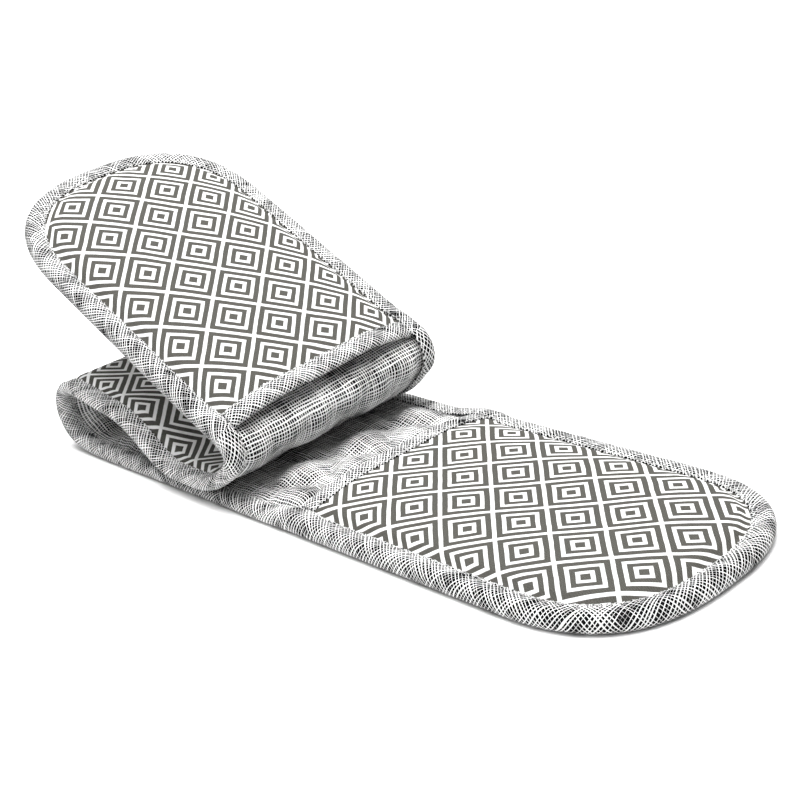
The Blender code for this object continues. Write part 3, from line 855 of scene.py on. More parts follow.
def tape_section(low, high, puff, pull=0):
    """Depths and levels round a folded tape: its outer face from the top hem, and its inner face back.

    low and high give the levels that it wraps at a depth, and pull is how far a stitch draws its hem in.
    """
    span = TAPE_FACE - pull
    thick = TAPE_THICKNESS
    nose_top = high(NOSE_DEPTH) + CLEARANCE + thick
    nose_low = low(NOSE_DEPTH) - CLEARANCE - thick
    middle = (nose_top + nose_low) / 2
    reach = (nose_top - nose_low) / 2
    outer = []
    face_depths = np.linspace(span - HEM_FOLD, NOSE_DEPTH, FACE_POINTS)
    for d in face_depths:
        bulge = puff * tape_bulge(d)
        groove = SEAM_GROOVE + pull / 2 if d > span - 2 * SEAM_DEPTH + SEAM_GROOVE else 0
        outer.append((d, high(min(d + CLEARANCE, SQUEEZE_START)) + CLEARANCE + thick + bulge - groove))
    nose_bulge = puff * tape_bulge(NOSE_DEPTH)
    for turn in np.linspace(0, math.pi, NOSE_POINTS)[1:-1]:
        d = NOSE_DEPTH * (1 - math.sin(turn))
        outer.append((d, middle + (reach + nose_bulge * abs(math.cos(turn))) * math.cos(turn)))
    for d in face_depths[::-1]:
        outer.append((d, low(min(d + CLEARANCE, SQUEEZE_START)) - CLEARANCE - thick))
    outer = [(span, high(SQUEEZE_START) + CLEARANCE + thick / 2)] + outer
    outer.append((span, low(SQUEEZE_START) - CLEARANCE - thick / 2))
    inner = [(d, low(min(d, SQUEEZE_START)) - CLEARANCE) for d in (span, NOSE_DEPTH * 2, NOSE_DEPTH)]
    inner += [(TAPE_ROOM, low(LAYER_EDGE) - CLEARANCE), (TAPE_ROOM, high(LAYER_EDGE) + CLEARANCE)]
    inner += [(d, high(min(d, SQUEEZE_START)) + CLEARANCE) for d in (NOSE_DEPTH, NOSE_DEPTH * 2, span)]
    return outer, inner


def sweep(name, rings, lengths, width_map):
    """A tape swept through closed rings of points, with flat ends.

    lengths is how far along the tape each ring is, and width_map how far round it each point.
    """
    rings = np.array(rings)
    count, around, _ = rings.shape
    a = (np.arange(count - 1)[:, None] * around + np.arange(around)).ravel()
    b = (np.arange(count - 1)[:, None] * around + (np.arange(around) + 1) % around).ravel()
    faces = np.stack([a, b, b + around, a + around], axis=1).tolist()
    faces += [list(range(around)), list(range((count - 1) * around, count * around))]
    uv = np.stack([np.repeat(lengths, around), np.tile(width_map, count)], axis=1)
    return make_piece(name, rings.reshape(-1, 3), faces, uv, material_of("crosshatch_binding"))


def section_map(section):
    """How far round the tape's cloth each point of a section lies."""
    outer, inner = section
    along = lengths_along(*np.transpose(outer))
    back = lengths_along(*np.transpose(inner))
    return np.concatenate([along, along[-1] - np.interp(back, [0, back[-1]], [0, along[-1]])])


def tape_puff(length):
    """The swelling of the tape at a length along it, which is uneven."""
    uneven = 1 + TAPE_PUFF_UNEVENNESS * float(swell(length / TAPE_PUFF_SWELL, 0.5, TAPE_PUFF_SEED))
    return bpy.context.scene.glove_sizes.tape_puff * uneven


def stitch_step():
    """From one stitch to the next."""
    sizes = bpy.context.scene.glove_sizes
    return sizes.stitch_length + sizes.stitch_gap


def hem_pull(length):
    """How far the hem is drawn in at a length along the tape: most at each needle hole."""
    wave = 0.5 - 0.5 * math.cos(2 * math.pi * length / stitch_step())
    uneven = 1 + HEM_UNEVENNESS * float(swell(length / HEM_SWELL, 0.5, HEM_SEED))
    return bpy.context.scene.glove_sizes.hem_pull * wave ** HEM_SHARPNESS * uneven


def edge_rings(places, level):
    """Rings of the edge binding over (s, place at a depth) pairs, with their lengths and map."""
    rings = []
    lengths = []
    last = None
    run = 0
    for place in places:
        edge_s, edge_v = place(TAPE_FACE / 2)
        here = strip_point(edge_s, edge_v, 0)
        run += 0 if last is None else float(np.linalg.norm(here - last))
        last = here

        def high(d, place=place):
            s, v = place(d)
            return float(level(s, v, d))

        def low(d):
            return -float(strip_half(d))

        section = tape_section(low, high, tape_puff(run), hem_pull(run))
        points = np.array(section[0] + section[1])
        s, v = place(points[:, 0])
        rings.append(strip_point(s, v, points[:, 1]))
        lengths.append(run)
    return rings, lengths, section_map(section)


def side_place(s, side):
    """The place at a depth on a straight side, +1 the far one."""
    return lambda d: (np.full_like(np.asarray(d, float), s), side * (HALF_WIDTH - np.asarray(d, float)))


def round_place(pocket, angle):
    """The place at a depth in the rounded end."""
    return lambda d: end_place(pocket.tip, pocket.step, np.asarray(d, float), angle)


def link_nodes(tree, *pairs):
    """Joins each pair of sockets."""
    for source, target in pairs:
        tree.links.new(source, target)


def new_material(name):
    """A material with its shader, and the links and nodes still to come."""
    material = bpy.data.materials.new(name)
    material.use_nodes = True
    return material, material.node_tree, material.node_tree.nodes["Principled BSDF"]


def math_node(tree, operation, a, b=None, c=None, clamp=False):
    """One sum in a node tree: each term is a socket or a number."""
    node = tree.nodes.new("ShaderNodeMath")
    node.operation = operation
    node.use_clamp = clamp
    for socket, value in zip(node.inputs, (a, b, c)):
        if value is None:
            continue
        if isinstance(value, bpy.types.NodeSocket):
            tree.links.new(value, socket)
        else:
            socket.default_value = value
    return node.outputs[0]


def from_middle(tree, value):
    """How far a value lies from the middle between two whole numbers."""
    return math_node(tree, "ABSOLUTE", math_node(tree, "SUBTRACT", math_node(tree, "FRACT", value), 0.5))


def noise_node(tree, vector, scale, detail, distort=0):
    """Smooth noise around a half."""
    node = tree.nodes.new("ShaderNodeTexNoise")
    node.inputs["Scale"].default_value = scale
    node.inputs["Detail"].default_value = detail
    node.inputs["Distortion"].default_value = distort
    tree.links.new(vector, node.inputs["Vector"])
    return node.outputs["Fac"]


def map_node(tree, vector, size, turn=0, place=(0, 0, 0)):
    """The flat map scaled, turned and then moved."""
    node = tree.nodes.new("ShaderNodeMapping")
    node.inputs["Location"].default_value = place
    node.inputs["Rotation"].default_value = (0, 0, turn)
    node.inputs["Scale"].default_value = (size, size, 1)
    tree.links.new(vector, node.inputs["Vector"])
    return node.outputs["Vector"]


def split_node(tree, vector):
    """The first two values of a place."""
    node = tree.nodes.new("ShaderNodeSeparateXYZ")
    tree.links.new(vector, node.inputs[0])
    return node.outputs[0], node.outputs[1]


def mix_colour(tree, share, first, second):
    """Between two colours, each a socket or three numbers."""
    node = tree.nodes.new("ShaderNodeMix")
    node.data_type = "RGBA"
    tree.links.new(share, node.inputs["Factor"])
    # Other inputs of the node have the same names, so its two colours are taken by their numbers
    for socket, value in ((node.inputs[6], first), (node.inputs[7], second)):
        if isinstance(value, bpy.types.NodeSocket):
            tree.links.new(value, socket)
        else:
            socket.default_value = (*value, 1)
    return node.outputs[2]


def ramp_between(tree, value, low, high):
    """0 below low and 1 above high, with an even ease between."""
    node = tree.nodes.new("ShaderNodeMapRange")
    node.interpolation_type = "SMOOTHSTEP"
    tree.links.new(value, node.inputs["Value"])
    node.inputs["From Min"].default_value = low
    node.inputs["From Max"].default_value = high
    return node.outputs["Result"]


def bump(tree, shader, height, distance):
    """Raises the shader's surface by a height from 0 to 1 times a distance."""
    node = tree.nodes.new("ShaderNodeBump")
    node.inputs["Distance"].default_value = distance
    tree.links.new(height, node.inputs["Height"])
    tree.links.new(node.outputs["Normal"], shader.inputs["Normal"])


def cloth_map(tree):
    """The places on the flat cloth, in metres."""
    node = tree.nodes.new("ShaderNodeUVMap")
    node.uv_map = "cloth"
    return node.outputs["UV"]


def between_shades(tree, share, colour, darkest, lightest):
    """From the darkest to the lightest shade of a colour, each given as a share of it."""
    return mix_colour(tree, share, [c * darkest for c in colour], [c * lightest for c in colour])


def paint_cloth(tree, shader, colour, feel):
    """Colours a matt cloth. Its feel is its roughness and its sheen."""
    roughness, sheen = feel
    link_nodes(tree, (colour, shader.inputs["Base Color"]))
    shader.inputs["Roughness"].default_value = roughness
    shader.inputs["Specular IOR Level"].default_value = CLOTH_SHINE
    shader.inputs["Sheen Weight"].default_value = sheen
    shader.inputs["Sheen Roughness"].default_value = SHEEN_ROUGHNESS


def drawn_noise(tree, along, across, seed, kind):
    """Noise drawn out along a thread, of one of the kinds in THREAD_NOISE."""
    reach, spread, scale, detail, seed_step = THREAD_NOISE[kind]
    place = tree.nodes.new("ShaderNodeCombineXYZ")
    link_nodes(tree, (math_node(tree, "MULTIPLY", along, reach), place.inputs[0]),
               (math_node(tree, "MULTIPLY", across, spread), place.inputs[1]))
    place.inputs[2].default_value = seed + seed_step
    return noise_node(tree, place.outputs[0], scale, detail)


def thread_lines(tree, along, across, seed, cover):
    """1 on the threads that lie at even steps of across, uneven in place and width.

    cover is their mean half width, as a share of a step.
    """
    wander = drawn_noise(tree, along, across, seed, "wander")
    place = math_node(tree, "ADD", across, math_node(tree, "MULTIPLY", wander, THREAD_WANDER))
    offset = from_middle(tree, place)
    slub = drawn_noise(tree, along, math_node(tree, "FLOOR", place), seed, "slub")
    density = drawn_noise(tree, along, across, seed, "patches")
    width = math_node(tree, "MULTIPLY_ADD", slub, THREAD_SLUB, cover - THREAD_MEAN)
    width = math_node(tree, "MULTIPLY_ADD", density, THREAD_PATCHES, width)
    inside = math_node(tree, "SUBTRACT", width, offset)
    return ramp_between(tree, inside, -THREAD_SOFTNESS, THREAD_SOFTNESS)


def crosshatch_material(name, turn, cover, pitch):
    """Black cloth with uneven white threads both ways, turned on the cloth by an angle."""
    colours = bpy.context.scene.glove_colours
    material, tree, shader = new_material(name)
    place = map_node(tree, cloth_map(tree), 1 / pitch, turn)
    x, y = split_node(tree, place)
    warp = thread_lines(tree, x, y, WARP_SEED, cover)
    weft = thread_lines(tree, y, x, WEFT_SEED, cover)
    white = math_node(tree, "MAXIMUM", warp, weft)
    crossed = math_node(tree, "MULTIPLY", warp, weft)
    strength = math_node(tree, "MULTIPLY_ADD", crossed, CROSSING_GAIN, THREAD_LEAST)
    fibre = noise_node(tree, place, FIBRE_SCALE, detail=3)
    fibres = math_node(tree, "MULTIPLY_ADD", fibre, FIBRE_GAIN, THREAD_LEAST)
    strength = math_node(tree, "MULTIPLY", strength, fibres)
    white = math_node(tree, "MULTIPLY", white, strength, clamp=True)
    colour = mix_colour(tree, white, colours.thread_black, colours.thread_white)
    paint_cloth(tree, shader, colour, CROSSHATCH_FEEL)
    weave = math_node(tree, "MULTIPLY_ADD", white, THREAD_RAISE, math_node(tree, "MULTIPLY", fibre, 0.5))
    bump(tree, shader, weave, CROSSHATCH_RELIEF)
    return material


def slanted(tree, cloth, slant):
    """The flat map under a print that lies askew: less by a share of its own length, both ways."""
    node = tree.nodes.new("ShaderNodeVectorMath")
    node.operation = "MULTIPLY_ADD"
    tree.links.new(split_node(tree, cloth)[0], node.inputs[0])
    node.inputs[1].default_value = (-slant, -slant, 0)
    tree.links.new(cloth, node.inputs[2])
    return node.outputs["Vector"]


def diamond_material(name, centre, slant=0):
    """Twill printed with square cells of rings, turned on the cloth, one of them centred there.

    The slant is how far the cloth is drawn out and aside, as a share of the way from the tip.
    """
    sizes = bpy.context.scene.glove_sizes
    colours = bpy.context.scene.glove_colours
    material, tree, shader = new_material(name)
    cloth = cloth_map(tree)
    printed = slanted(tree, cloth, slant) if slant else cloth
    share = 1 / sizes.pattern_cell
    turn = math.radians(PRINT_TURN)
    x0 = centre[0] * math.cos(turn) - centre[1] * math.sin(turn)
    y0 = centre[0] * math.sin(turn) + centre[1] * math.cos(turn)
    place = map_node(tree, printed, share, turn, (0.5 - x0 * share, 0.5 - y0 * share, 0))
    wobble = noise_node(tree, cloth, RING_WOBBLES, detail=2)
    x, y = split_node(tree, place)
    shake = math_node(tree, "MULTIPLY_ADD", wobble, RING_WOBBLE, -RING_WOBBLE / 2)
    ring = None
    for value in (x, y):
        size = from_middle(tree, math_node(tree, "ADD", value, shake))
        ring = size if ring is None else math_node(tree, "MAXIMUM", ring, size)
    fray = noise_node(tree, cloth, RING_FRAYS, detail=1)
    ring = math_node(tree, "ADD", ring, math_node(tree, "MULTIPLY_ADD", fray, RING_FRAY, -RING_FRAY / 2))
    white = None
    for k, edge in enumerate(RING_EDGE_SHARES):
        step = ramp_between(tree, ring, edge - RING_SOFTNESS, edge + RING_SOFTNESS)
        if white is None:
            white = step
        else:
            white = math_node(tree, "ADD" if k % 2 == 0 else "SUBTRACT", white, step)
    rib = split_node(tree, map_node(tree, cloth, TWILL_RIBS, math.radians(TWILL_TURN)))[0]
    twill = from_middle(tree, rib)
    speck = noise_node(tree, cloth, TWILL_SPECKS, detail=2)
    specks = math_node(tree, "MULTIPLY", speck, SPECK_SHARE)
    shade = math_node(tree, "MULTIPLY_ADD", twill, RIB_SHARE, specks)
    lit = ramp_between(tree, shade, *TWILL_SHADES)
    dark = between_shades(tree, lit, colours.pattern_grey, TWILL_DARK, TWILL_LIGHT)
    colour = mix_colour(tree, white, dark, colours.pattern_white)
    paint_cloth(tree, shader, colour, DIAMOND_FEEL)
    relief = math_node(tree, "MULTIPLY_ADD", white, PRINT_RAISE, math_node(tree, "MULTIPLY", shade, 0.5))
    bump(tree, shader, relief, TWILL_RELIEF)
    return material


def felt_material(name):
    """Needled felt: off-white and uneven."""
    colours = bpy.context.scene.glove_colours
    material, tree, shader = new_material(name)
    clump = noise_node(tree, cloth_map(tree), FELT_CLUMPS, detail=5, distort=0.6)
    paint_cloth(tree, shader, between_shades(tree, clump, colours.felt, *FELT_SHADES), FELT_FEEL)
    bump(tree, shader, clump, FELT_RELIEF)
    return material


def thread_material(name):
    """Twisted sewing thread."""
    colours = bpy.context.scene.glove_colours
    material, tree, shader = new_material(name)
    place = tree.nodes.new("ShaderNodeTexCoord").outputs["Object"]
    twist = noise_node(tree, place, SEWING_TWISTS, detail=1)
    shades = between_shades(tree, twist, colours.stitches, *SEWING_SHADES)
    paint_cloth(tree, shader, shades, SEWING_FEEL)
    return material


def material_of(name):
    """The material of that name, which is made when it is first asked for."""
    found = bpy.data.materials.get(name)
    if found:
        return found
    sizes = bpy.context.scene.glove_sizes
    makers = {
        "diamond_cover": (diamond_material, COVER_DIAMOND),
        "diamond_lower_panel": (diamond_material, LOWER_PANEL_DIAMOND, LOWER_PANEL_SLANT),
        "diamond_upper_panel": (diamond_material, (UPPER_START + UPPER_PANEL_OFFSET, 0)),
        "crosshatch_lining": (crosshatch_material, 0, LINING_THREADS, sizes.thread_pitch),
        "crosshatch_binding": (
            crosshatch_material, math.radians(BIAS_TURN), TAPE_THREADS, sizes.tape_thread_pitch),
        "heat_wadding_felt": (felt_material,),
        "sewing_thread": (thread_material,),
    }
    maker, *values = makers[name]
    return maker(name, *values)


def stitch_tree():
    """The node tree that lays one thread on every point, along its way and out of the cloth."""
    found = bpy.data.node_groups.get("stitches")
    if found:
        return found
    tree = bpy.data.node_groups.new("stitches", "GeometryNodeTree")
    tree.interface.new_socket("Geometry", in_out="INPUT", socket_type="NodeSocketGeometry")
    for name in ("Length", "Width"):
        tree.interface.new_socket(name, in_out="INPUT", socket_type="NodeSocketFloat")
    tree.interface.new_socket("Seed", in_out="INPUT", socket_type="NodeSocketInt")
    tree.interface.new_socket("Thread", in_out="INPUT", socket_type="NodeSocketMaterial")
    tree.interface.new_socket("Geometry", in_out="OUTPUT", socket_type="NodeSocketGeometry")
    given = tree.nodes.new("NodeGroupInput").outputs
    turn = None
    for attribute, axis in (("way", "X"), ("out", "Z")):
        read = tree.nodes.new("GeometryNodeInputNamedAttribute")
        read.data_type = "FLOAT_VECTOR"
        read.inputs["Name"].default_value = attribute
        align = tree.nodes.new("FunctionNodeAlignRotationToVector")
        align.axis = axis
        align.pivot_axis = "AUTO" if turn is None else "X"
        tree.links.new(read.outputs["Attribute"], align.inputs["Vector"])
        if turn is not None:
            tree.links.new(turn, align.inputs["Rotation"])
        turn = align.outputs["Rotation"]
    thread = tree.nodes.new("GeometryNodeMeshUVSphere")
    thread.inputs["Segments"].default_value = STITCH_SIDES
    thread.inputs["Rings"].default_value = STITCH_RINGS
    thread.inputs["Radius"].default_value = 0.5
    size = tree.nodes.new("ShaderNodeCombineXYZ")
    link_nodes(tree, (given["Length"], size.inputs[0]), (given["Width"], size.inputs[1]),
               (given["Width"], size.inputs[2]))
    shape = tree.nodes.new("GeometryNodeTransform")
    link_nodes(tree, (thread.outputs["Mesh"], shape.inputs["Geometry"]),
               (size.outputs[0], shape.inputs["Scale"]))
    vary = tree.nodes.new("FunctionNodeRandomValue")
    vary.data_type = "FLOAT_VECTOR"
    vary.inputs["Min"].default_value = STITCH_LEAST
    vary.inputs["Max"].default_value = STITCH_MOST
    tree.links.new(given["Seed"], vary.inputs["Seed"])
    place = tree.nodes.new("GeometryNodeInstanceOnPoints")
    link_nodes(tree, (given["Geometry"], place.inputs["Points"]),
               (shape.outputs["Geometry"], place.inputs["Instance"]), (turn, place.inputs["Rotation"]),
               (vary.outputs["Value"], place.inputs["Scale"]))
    realize = tree.nodes.new("GeometryNodeRealizeInstances")
    paint = tree.nodes.new("GeometryNodeSetMaterial")
    result = tree.nodes.new("NodeGroupOutput")
    link_nodes(tree, (place.outputs["Instances"], realize.inputs["Geometry"]),
               (realize.outputs["Geometry"], paint.inputs["Geometry"]),
               (given["Thread"], paint.inputs["Material"]),
               (paint.outputs["Geometry"], result.inputs[0]))
    return tree


def seam(s, v, level):
    """The stitches of one seam, as points with the ways along and out, from places and their levels."""
    points = strip_point(s, v, level)
    out = strip_point(s, v, level + np.sign(level) * TAPE_THICKNESS) - points
    return np.stack([points, np.gradient(points, axis=0), out])


def sew(name, seams, bodies):
    """One mesh of all the stitches of the seams, which follows the bodies of their cloth."""
    points, ways, outs = np.concatenate(seams, axis=1)
    mesh = bpy.data.meshes.new(name)
    mesh.from_pydata(points.tolist(), [], [])
    for word, values in (("way", ways), ("out", outs)):
        mesh.attributes.new(word, "FLOAT_VECTOR", "POINT").data.foreach_set("vector", values.ravel())
    holder = bpy.data.objects.new(name, mesh)
    bpy.context.scene.collection.objects.link(holder)
    tree = stitch_tree()
    modifier = holder.modifiers.new("stitches", "NODES")
    modifier.node_group = tree
    sizes = bpy.context.scene.glove_sizes
    given = {"Length": sizes.stitch_length, "Width": sizes.thread_width, "Seed": sizes.stitch_seed,
             "Thread": material_of("sewing_thread")}
    for socket in tree.interface.items_tree:
        if socket.in_out == "INPUT" and socket.name in given:
            modifier[socket.identifier] = given[socket.name]
    depsgraph = bpy.context.evaluated_depsgraph_get()
    plain = bpy.data.meshes.new_from_object(holder.evaluated_get(depsgraph))
    bpy.data.objects.remove(holder)
    bpy.data.meshes.remove(mesh)
    plain.name = name
    plain.shade_smooth()
    stitches = bpy.data.objects.new(name, plain)
    bpy.context.scene.collection.objects.link(stitches)
    join_bodies(stitches, bodies)


def hem_seams(first, last, pocket, level):
    """The stitches along the hems of the edge binding of one stretch, on both faces of the strip."""
    d = SEAM_PLACE
    step = stitch_step()
    lines = []
    if pocket:
        s_side = pocket.side(pocket.cut(first, last) - pocket.step * step / 2, step)
        s_end, v_end = end_place(pocket.tip, pocket.step, d, end_angles(step))
        v_side = np.full_like(s_side, HALF_WIDTH - d)
        s_round = np.concatenate([s_side[::-1], s_end, s_side])
        lines.append((s_round, np.concatenate([v_side, v_end, -v_side])))
    else:
        s_side = even(first + step / 2, last - step / 2, step)
        for side in (1, -1):
            lines.append((s_side, np.full_like(s_side, side * (HALF_WIDTH - d))))
    for s, v in lines:
        yield seam(s, v, level(s, v, d) + SEAM_COVER)
        yield seam(s, v, -strip_half(np.full_like(s, d)) - SEAM_COVER)


def quilting_seams(first, last, quilting):
    """The stitches of the quilting lines that show in one stretch."""
    reach = HALF_WIDTH - SQUEEZE_START - SQUEEZE_RUN / 2
    slope = math.hypot(1, QUILT_ALONG / QUILT_ACROSS)
    v = even(-reach, reach, stitch_step() / slope)
    across = (v - QUILT_ACROSS / 4) / QUILT_ACROSS
    spread = math.ceil(np.abs(across).max())
    first_line = math.floor((first - QUILT_START) / QUILT_ALONG) - spread
    last_line = math.ceil((last - QUILT_START) / QUILT_ALONG) + spread
    for way in (1, -1):
        for line in range(first_line, last_line + 1):
            s = QUILT_START + QUILT_ALONG * (line - way * across)
            shown = (s > first + SEAM_HALF) & (s < last - SEAM_HALF)
            if np.count_nonzero(shown) > 1:
                places = s[shown], v[shown]
                yield seam(*places, quilting.top(*places, HALF_WIDTH - np.abs(v[shown])))


def join_bodies(piece, bodies):
    """The piece rides on its first body, with its own mesh in the left fold; in the right fold it stays
    put.
    """
    if bodies == ("middle_run", "upper_glove"):
        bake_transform(piece)
        return
    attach(piece, bodies[0])
    if len(bodies) > 1:
        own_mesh(piece)


def layer_pieces(layer, under, top, material):
    """One layer of the strip in its five stretches: each piece, its flat size, and if it is rounded."""
    step = bpy.context.scene.glove_sizes.grid_step
    for place, first, last, bodies in STRETCHES:
        pocket = POCKETS.get(place)
        if pocket:
            grid = end_grid(pocket, pocket.side(pocket.cut(first, last), step), step)
        else:
            grid = cross_grid(even(first, last, step), step)
        node = f"{layer}_{place}"
        piece = slab(f"{node}_cloth", grid, under, top, material_of(material), bool(pocket))
        join_bodies(piece, bodies)
        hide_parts(node)
        yield piece, STRIP_WIDTH - 2 * LAYER_EDGE, last - first, bool(pocket)


def cut_area(width, length, rounded):
    """The flat area of a stretch, less the corners that a rounded end takes off."""
    if not rounded:
        return width * length
    angles = np.linspace(0, math.pi / 2, AREA_ANGLES)
    s, v = end_place(0, 1, np.full_like(angles, LAYER_EDGE), angles)
    quarter = abs(float(np.sum((v[1:] + v[:-1]) / 2 * np.diff(s))))
    return width * (length - END_LENGTH) + 2 * quarter


def lay_sheets(layer, under, top, material):
    """One layer of the strip, of cloth cut flat and folded with it."""
    for piece, width, length, rounded in layer_pieces(layer, under, top, material):
        cut_area(width, length, rounded)


class GLOVE_OT_cover(bpy.types.Operator):
    """Makes the outer cover: one run of diamond cloth under the whole strip."""

    bl_idname = "glove.cover"
    bl_label = "Outer Cover"

    def execute(self, context):
        lay_sheets("outer_cover", cover_under, cover_top, "diamond_cover")
        return {"FINISHED"}


class GLOVE_OT_wadding(bpy.types.Operator):
    """Makes the heat wadding between the cover and the lining."""

    bl_idname = "glove.wadding"
    bl_label = "Heat Wadding"

    def execute(self, context):
        for piece, *_ in layer_pieces("heat_wadding", wadding_under, wadding_top, "heat_wadding_felt"):
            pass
        return {"FINISHED"}


class GLOVE_OT_lining(bpy.types.Operator):
    """Makes the quilted lining, which shows between the pockets and inside the left fold."""

    bl_idname = "glove.lining"
    bl_label = "Quilted Lining"

    def execute(self, context):
        quilting = Quilting()
        lay_sheets("quilted_lining", lining_under, quilting.top, "crosshatch_lining")
        for place, first, last, bodies in STRETCHES[:-1]:
            seams = list(quilting_seams(max(first, POCKET_LENGTH - TAPE_FACE), last, quilting))
            sew(f"quilting_{place}_stitches", seams, bodies)
        return {"FINISHED"}


class GLOVE_OT_binding(bpy.types.Operator):
    """Makes the edge binding: bias tape folded over the edge all round."""

    bl_idname = "glove.binding"
    bl_label = "Edge Binding"

    def execute(self, context):
        step = stitch_step() / RINGS_PER_STITCH
        for place, first, last, bodies in STRETCHES:
            pocket = POCKETS.get(place)
            level = stack_top(UPPER_POCKET if place == "right_fold" else pocket)
            seams = list(hem_seams(first, last, pocket, level))
            sew(f"edge_{place}_stitches", seams, bodies)
            if pocket:
                stations = pocket.side(pocket.cut(first, last), step)
                places = [side_place(s, 1) for s in stations[::-1]]
                places += [round_place(pocket, angle) for angle in end_angles(step)]
                places += [side_place(s, -1) for s in stations]
                sides = [("", places)]
            else:
                stations = even(first, last, step)
                sides = [(word, [side_place(s, side) for s in stations])
                         for word, side in (("_far", 1), ("_near", -1))]
            for word, places in sides:
                node = f"edge_binding_{place}{word}"
                rings, lengths, around = edge_rings(places, level)
                piece = sweep(f"{node}_tape", rings, lengths, around)
                join_bodies(piece, bodies)
                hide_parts(node)
        return {"FINISHED"}


def build_pocket(pocket):
    """The lining, wadding and panel of one pocket, and the tape over its mouth."""
    body = f"{pocket.word}_glove"
    step = bpy.context.scene.glove_sizes.grid_step
    end = pocket.mouth - pocket.step * LAYER_EDGE
    grid = end_grid(pocket, pocket.side(end, step), step)
    width = STRIP_WIDTH - 2 * LAYER_EDGE
    length = POCKET_LENGTH - LAYER_EDGE
    layers = (
        ("lining", pocket.lining_under, pocket.lining_top, "crosshatch_lining"),
        ("wadding", pocket.wadding_under, pocket.wadding_top, "heat_wadding_felt"),
        ("panel", pocket.cover_under, pocket.cover_top, f"diamond_{pocket.word}_panel"),
    )
    for layer, under, top, material in layers:
        node = f"pocket_{pocket.word}_{layer}"
        piece = slab(f"{node}_cloth", grid, under, top, material_of(material), True)
        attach(piece, body)
        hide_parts(node)
        if layer == "wadding":
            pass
        else:
            cut_area(width, length, True)
    mouth_tape(pocket, body)


def mouth_tape(pocket, body):
    """The tape over the pocket's mouth, from one edge binding to the other, and its stitches."""
    step = stitch_step() / RINGS_PER_STITCH
    rings = []
    lengths = []
    reach = HALF_WIDTH - SQUEEZE_START
    for v in even(reach, -reach, step):
        d = HALF_WIDTH - abs(v)

        def low(m, v=v, d=d):
            return float(pocket.lining_under(pocket.mouth - pocket.step * m, v, d))

        def high(m, v=v, d=d):
            return float(pocket.cover_top(pocket.mouth - pocket.step * m, v, d))

        section = tape_section(low, high, tape_puff(reach - v), hem_pull(reach - v))
        points = np.array(section[0] + section[1])
        rings.append(strip_point(pocket.mouth - pocket.step * points[:, 0], v, points[:, 1]))
        lengths.append(reach - v)
    node = f"mouth_binding_{pocket.word}"
    around = section_map(section)
    piece = sweep(f"{node}_tape", rings, lengths, around)
    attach(piece, body)
    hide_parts(node)
    v = even(reach - SEAM_DEPTH, SEAM_DEPTH - reach, stitch_step())
    s = np.full_like(v, pocket.mouth - pocket.step * SEAM_PLACE)
    level = pocket.cover_top(s, v, HALF_WIDTH - np.abs(v)) + SEAM_COVER
    sew(f"mouth_{pocket.word}_stitches", [seam(s, v, level)], (body,))


class GLOVE_OT_lower_pocket(bpy.types.Operator):
    """Makes the lower glove's pocket: panel, wadding, lining and mouth tape."""

    bl_idname = "glove.lower_pocket"
    bl_label = "Lower Pocket"

    def execute(self, context):
        build_pocket(LOWER_POCKET)
        return {"FINISHED"}


class GLOVE_OT_upper_pocket(bpy.types.Operator):
    """Makes the upper glove's pocket: panel, wadding, lining and mouth tape."""

    bl_idname = "glove.upper_pocket"
    bl_label = "Upper Pocket"

    def execute(self, context):
        build_pocket(UPPER_POCKET)
        return {"FINISHED"}


def lamp(name, place, target, power, size):
    """A large square lamp that faces the target."""
    light = bpy.data.lights.new(name, "AREA")
    light.energy = power
    light.size = size
    holder = bpy.data.objects.new(name, light)
    way = Vector(target) - Vector(place)
    holder.matrix_world = Matrix.Translation(place) @ way.to_track_quat("-Z", "Y").to_matrix().to_4x4()
    bpy.context.scene.collection.objects.link(holder)


def floor_piece():
    """A pale floor with the glove's soft shadow, and a painted glow and contact shade that the camera
    sees.
    """
    mesh = bpy.data.meshes.new("floor")
    signs = ((-1, -1), (1, -1), (1, 1), (-1, 1))
    corners = [(x * FLOOR_REACH, y * FLOOR_REACH, -CLEARANCE) for x, y in signs]
    mesh.from_pydata(corners, [], [(0, 1, 2, 3)])
    material, tree, shader = new_material("pale_floor")
    shader.inputs["Base Color"].default_value = (FLOOR_GREY, FLOOR_GREY, FLOOR_GREY, 1)
    shader.inputs["Roughness"].default_value = FLOOR_ROUGHNESS
    shader.inputs["Specular IOR Level"].default_value = 0
    # The floor glows for the camera only, a painted glow that rises to plain white far off
    light_path = tree.nodes.new("ShaderNodeLightPath")
    place = tree.nodes.new("ShaderNodeTexCoord").outputs["Object"]
    away = tree.nodes.new("ShaderNodeVectorMath")
    away.operation = "LENGTH"
    link_nodes(tree, (place, away.inputs[0]))
    fade = ramp_between(tree, away.outputs["Value"], *FLOOR_FADE)
    shader.inputs["Emission Color"].default_value = (1, 1, 1, 1)
    # Ambient occlusion takes the glow away where the glove is near: a painted contact shade
    painted_contact_shade = tree.nodes.new("ShaderNodeAmbientOcclusion")
    painted_contact_shade.inputs["Distance"].default_value = FLOOR_CONTACT
    free = math_node(tree, "POWER", painted_contact_shade.outputs["AO"], FLOOR_CONTACT_POWER)
    near = math_node(tree, "MULTIPLY", free, FLOOR_GLOW)
    plain = math_node(tree, "MULTIPLY_ADD", fade, 1 - FLOOR_GLOW, near)
    glow = math_node(tree, "MULTIPLY", light_path.outputs["Is Camera Ray"], plain)
    link_nodes(tree, (glow, shader.inputs["Emission Strength"]))
    mesh.materials.append(material)
    floor = bpy.data.objects.new("floor", mesh)
    bpy.context.scene.collection.objects.link(floor)


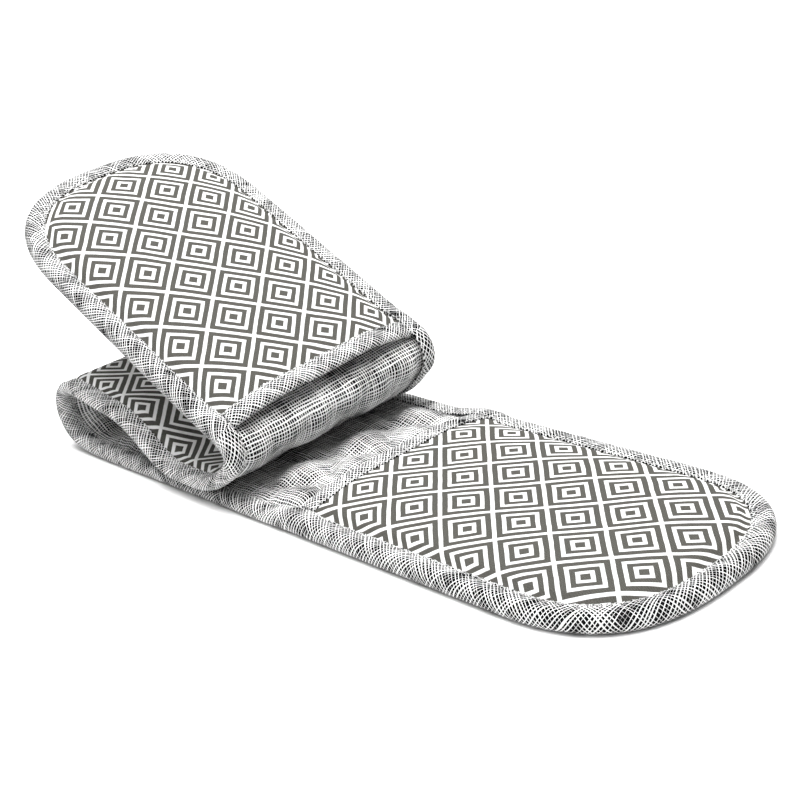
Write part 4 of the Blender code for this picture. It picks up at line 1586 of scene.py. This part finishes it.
def even_sky(scene, even_light):
    """Even light from all around, before a background that the camera sees as white."""
    world = bpy.data.worlds.new("even_sky")
    world.use_nodes = True
    tree = world.node_tree
    sky = tree.nodes["Background"]
    sky.inputs["Color"].default_value = (1, 1, 1, 1)
    light_path = tree.nodes.new("ShaderNodeLightPath")
    seen = math_node(
        tree, "ADD", light_path.outputs["Is Camera Ray"], light_path.outputs["Is Glossy Ray"])
    seen = math_node(tree, "ADD", seen, light_path.outputs["Is Transmission Ray"], clamp=True)
    strength = math_node(tree, "MULTIPLY_ADD", seen, 1 - even_light, even_light)
    link_nodes(tree, (strength, sky.inputs["Strength"]))
    scene.world = world


def photo_camera(scene):
    """The camera, from where the photo was taken."""
    camera = bpy.data.cameras.new("photo_camera")
    camera.sensor_width = CAMERA_SENSOR
    camera.lens = CAMERA_LENS
    holder = bpy.data.objects.new("photo_camera", camera)
    right = Vector(CAMERA_RIGHT).normalized()
    up = -Vector(CAMERA_DOWN).normalized()
    back = right.cross(up).normalized()
    up = back.cross(right)
    turn = Matrix((right, up, back)).transposed().to_4x4()
    holder.matrix_world = Matrix.Translation(CAMERA_PLACE) @ turn
    scene.collection.objects.link(holder)
    scene.camera = holder


class GLOVE_OT_stage(bpy.types.Operator):
    """Makes the pale floor, the soft light and the camera."""

    bl_idname = "glove.stage"
    bl_label = "Stage"

    def execute(self, context):
        scene = context.scene
        settings = scene.glove_stage
        floor_piece()
        lamp("key_light", KEY_PLACE, KEY_TARGET, settings.key_power, KEY_SIDE)
        lamp("fill_light", FILL_PLACE, FILL_TARGET, settings.fill_power, FILL_SIDE)
        even_sky(scene, settings.sky_strength)
        scene.view_settings.view_transform = "Standard"
        photo_camera(scene)
        return {"FINISHED"}


class GLOVE_PT_panel(bpy.types.Panel):
    """Shows the glove's settings, and the buttons of its operators, in the sidebar."""

    bl_label = "Double Oven Glove"
    bl_idname = "GLOVE_PT_panel"
    bl_space_type = "VIEW_3D"
    bl_region_type = "UI"
    bl_category = "Oven Glove"

    def draw(self, context):
        layout = self.layout
        scene = context.scene
        for group in (scene.glove_sizes, scene.glove_colours, scene.glove_stage):
            box = layout.box()
            for name in group.__annotations__:
                box.prop(group, name)
        for operator in OPERATORS:
            layout.operator(operator.bl_idname)


OPERATORS = (GLOVE_OT_cover, GLOVE_OT_wadding, GLOVE_OT_lining, GLOVE_OT_binding,
             GLOVE_OT_lower_pocket, GLOVE_OT_upper_pocket, GLOVE_OT_stage)
CLASSES = (GloveSizes, GloveColours, GloveStage) + OPERATORS + (GLOVE_PT_panel,)


def register():
    """Makes the glove's settings, operators and panel known to Blender."""
    for item in CLASSES:
        bpy.utils.register_class(item)
    bpy.types.Scene.glove_sizes = PointerProperty(type=GloveSizes)
    bpy.types.Scene.glove_colours = PointerProperty(type=GloveColours)
    bpy.types.Scene.glove_stage = PointerProperty(type=GloveStage)


def unregister():
    """Takes them out again."""
    del bpy.types.Scene.glove_stage
    del bpy.types.Scene.glove_colours
    del bpy.types.Scene.glove_sizes
    for item in reversed(CLASSES):
        bpy.utils.unregister_class(item)


def main():
    """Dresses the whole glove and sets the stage."""
    register()
    bpy.ops.glove.cover()
    bpy.ops.glove.wadding()
    bpy.ops.glove.lining()
    bpy.ops.glove.binding()
    bpy.ops.glove.lower_pocket()
    bpy.ops.glove.upper_pocket()
    bpy.ops.glove.stage()


if __name__ == "__main__":
    main()
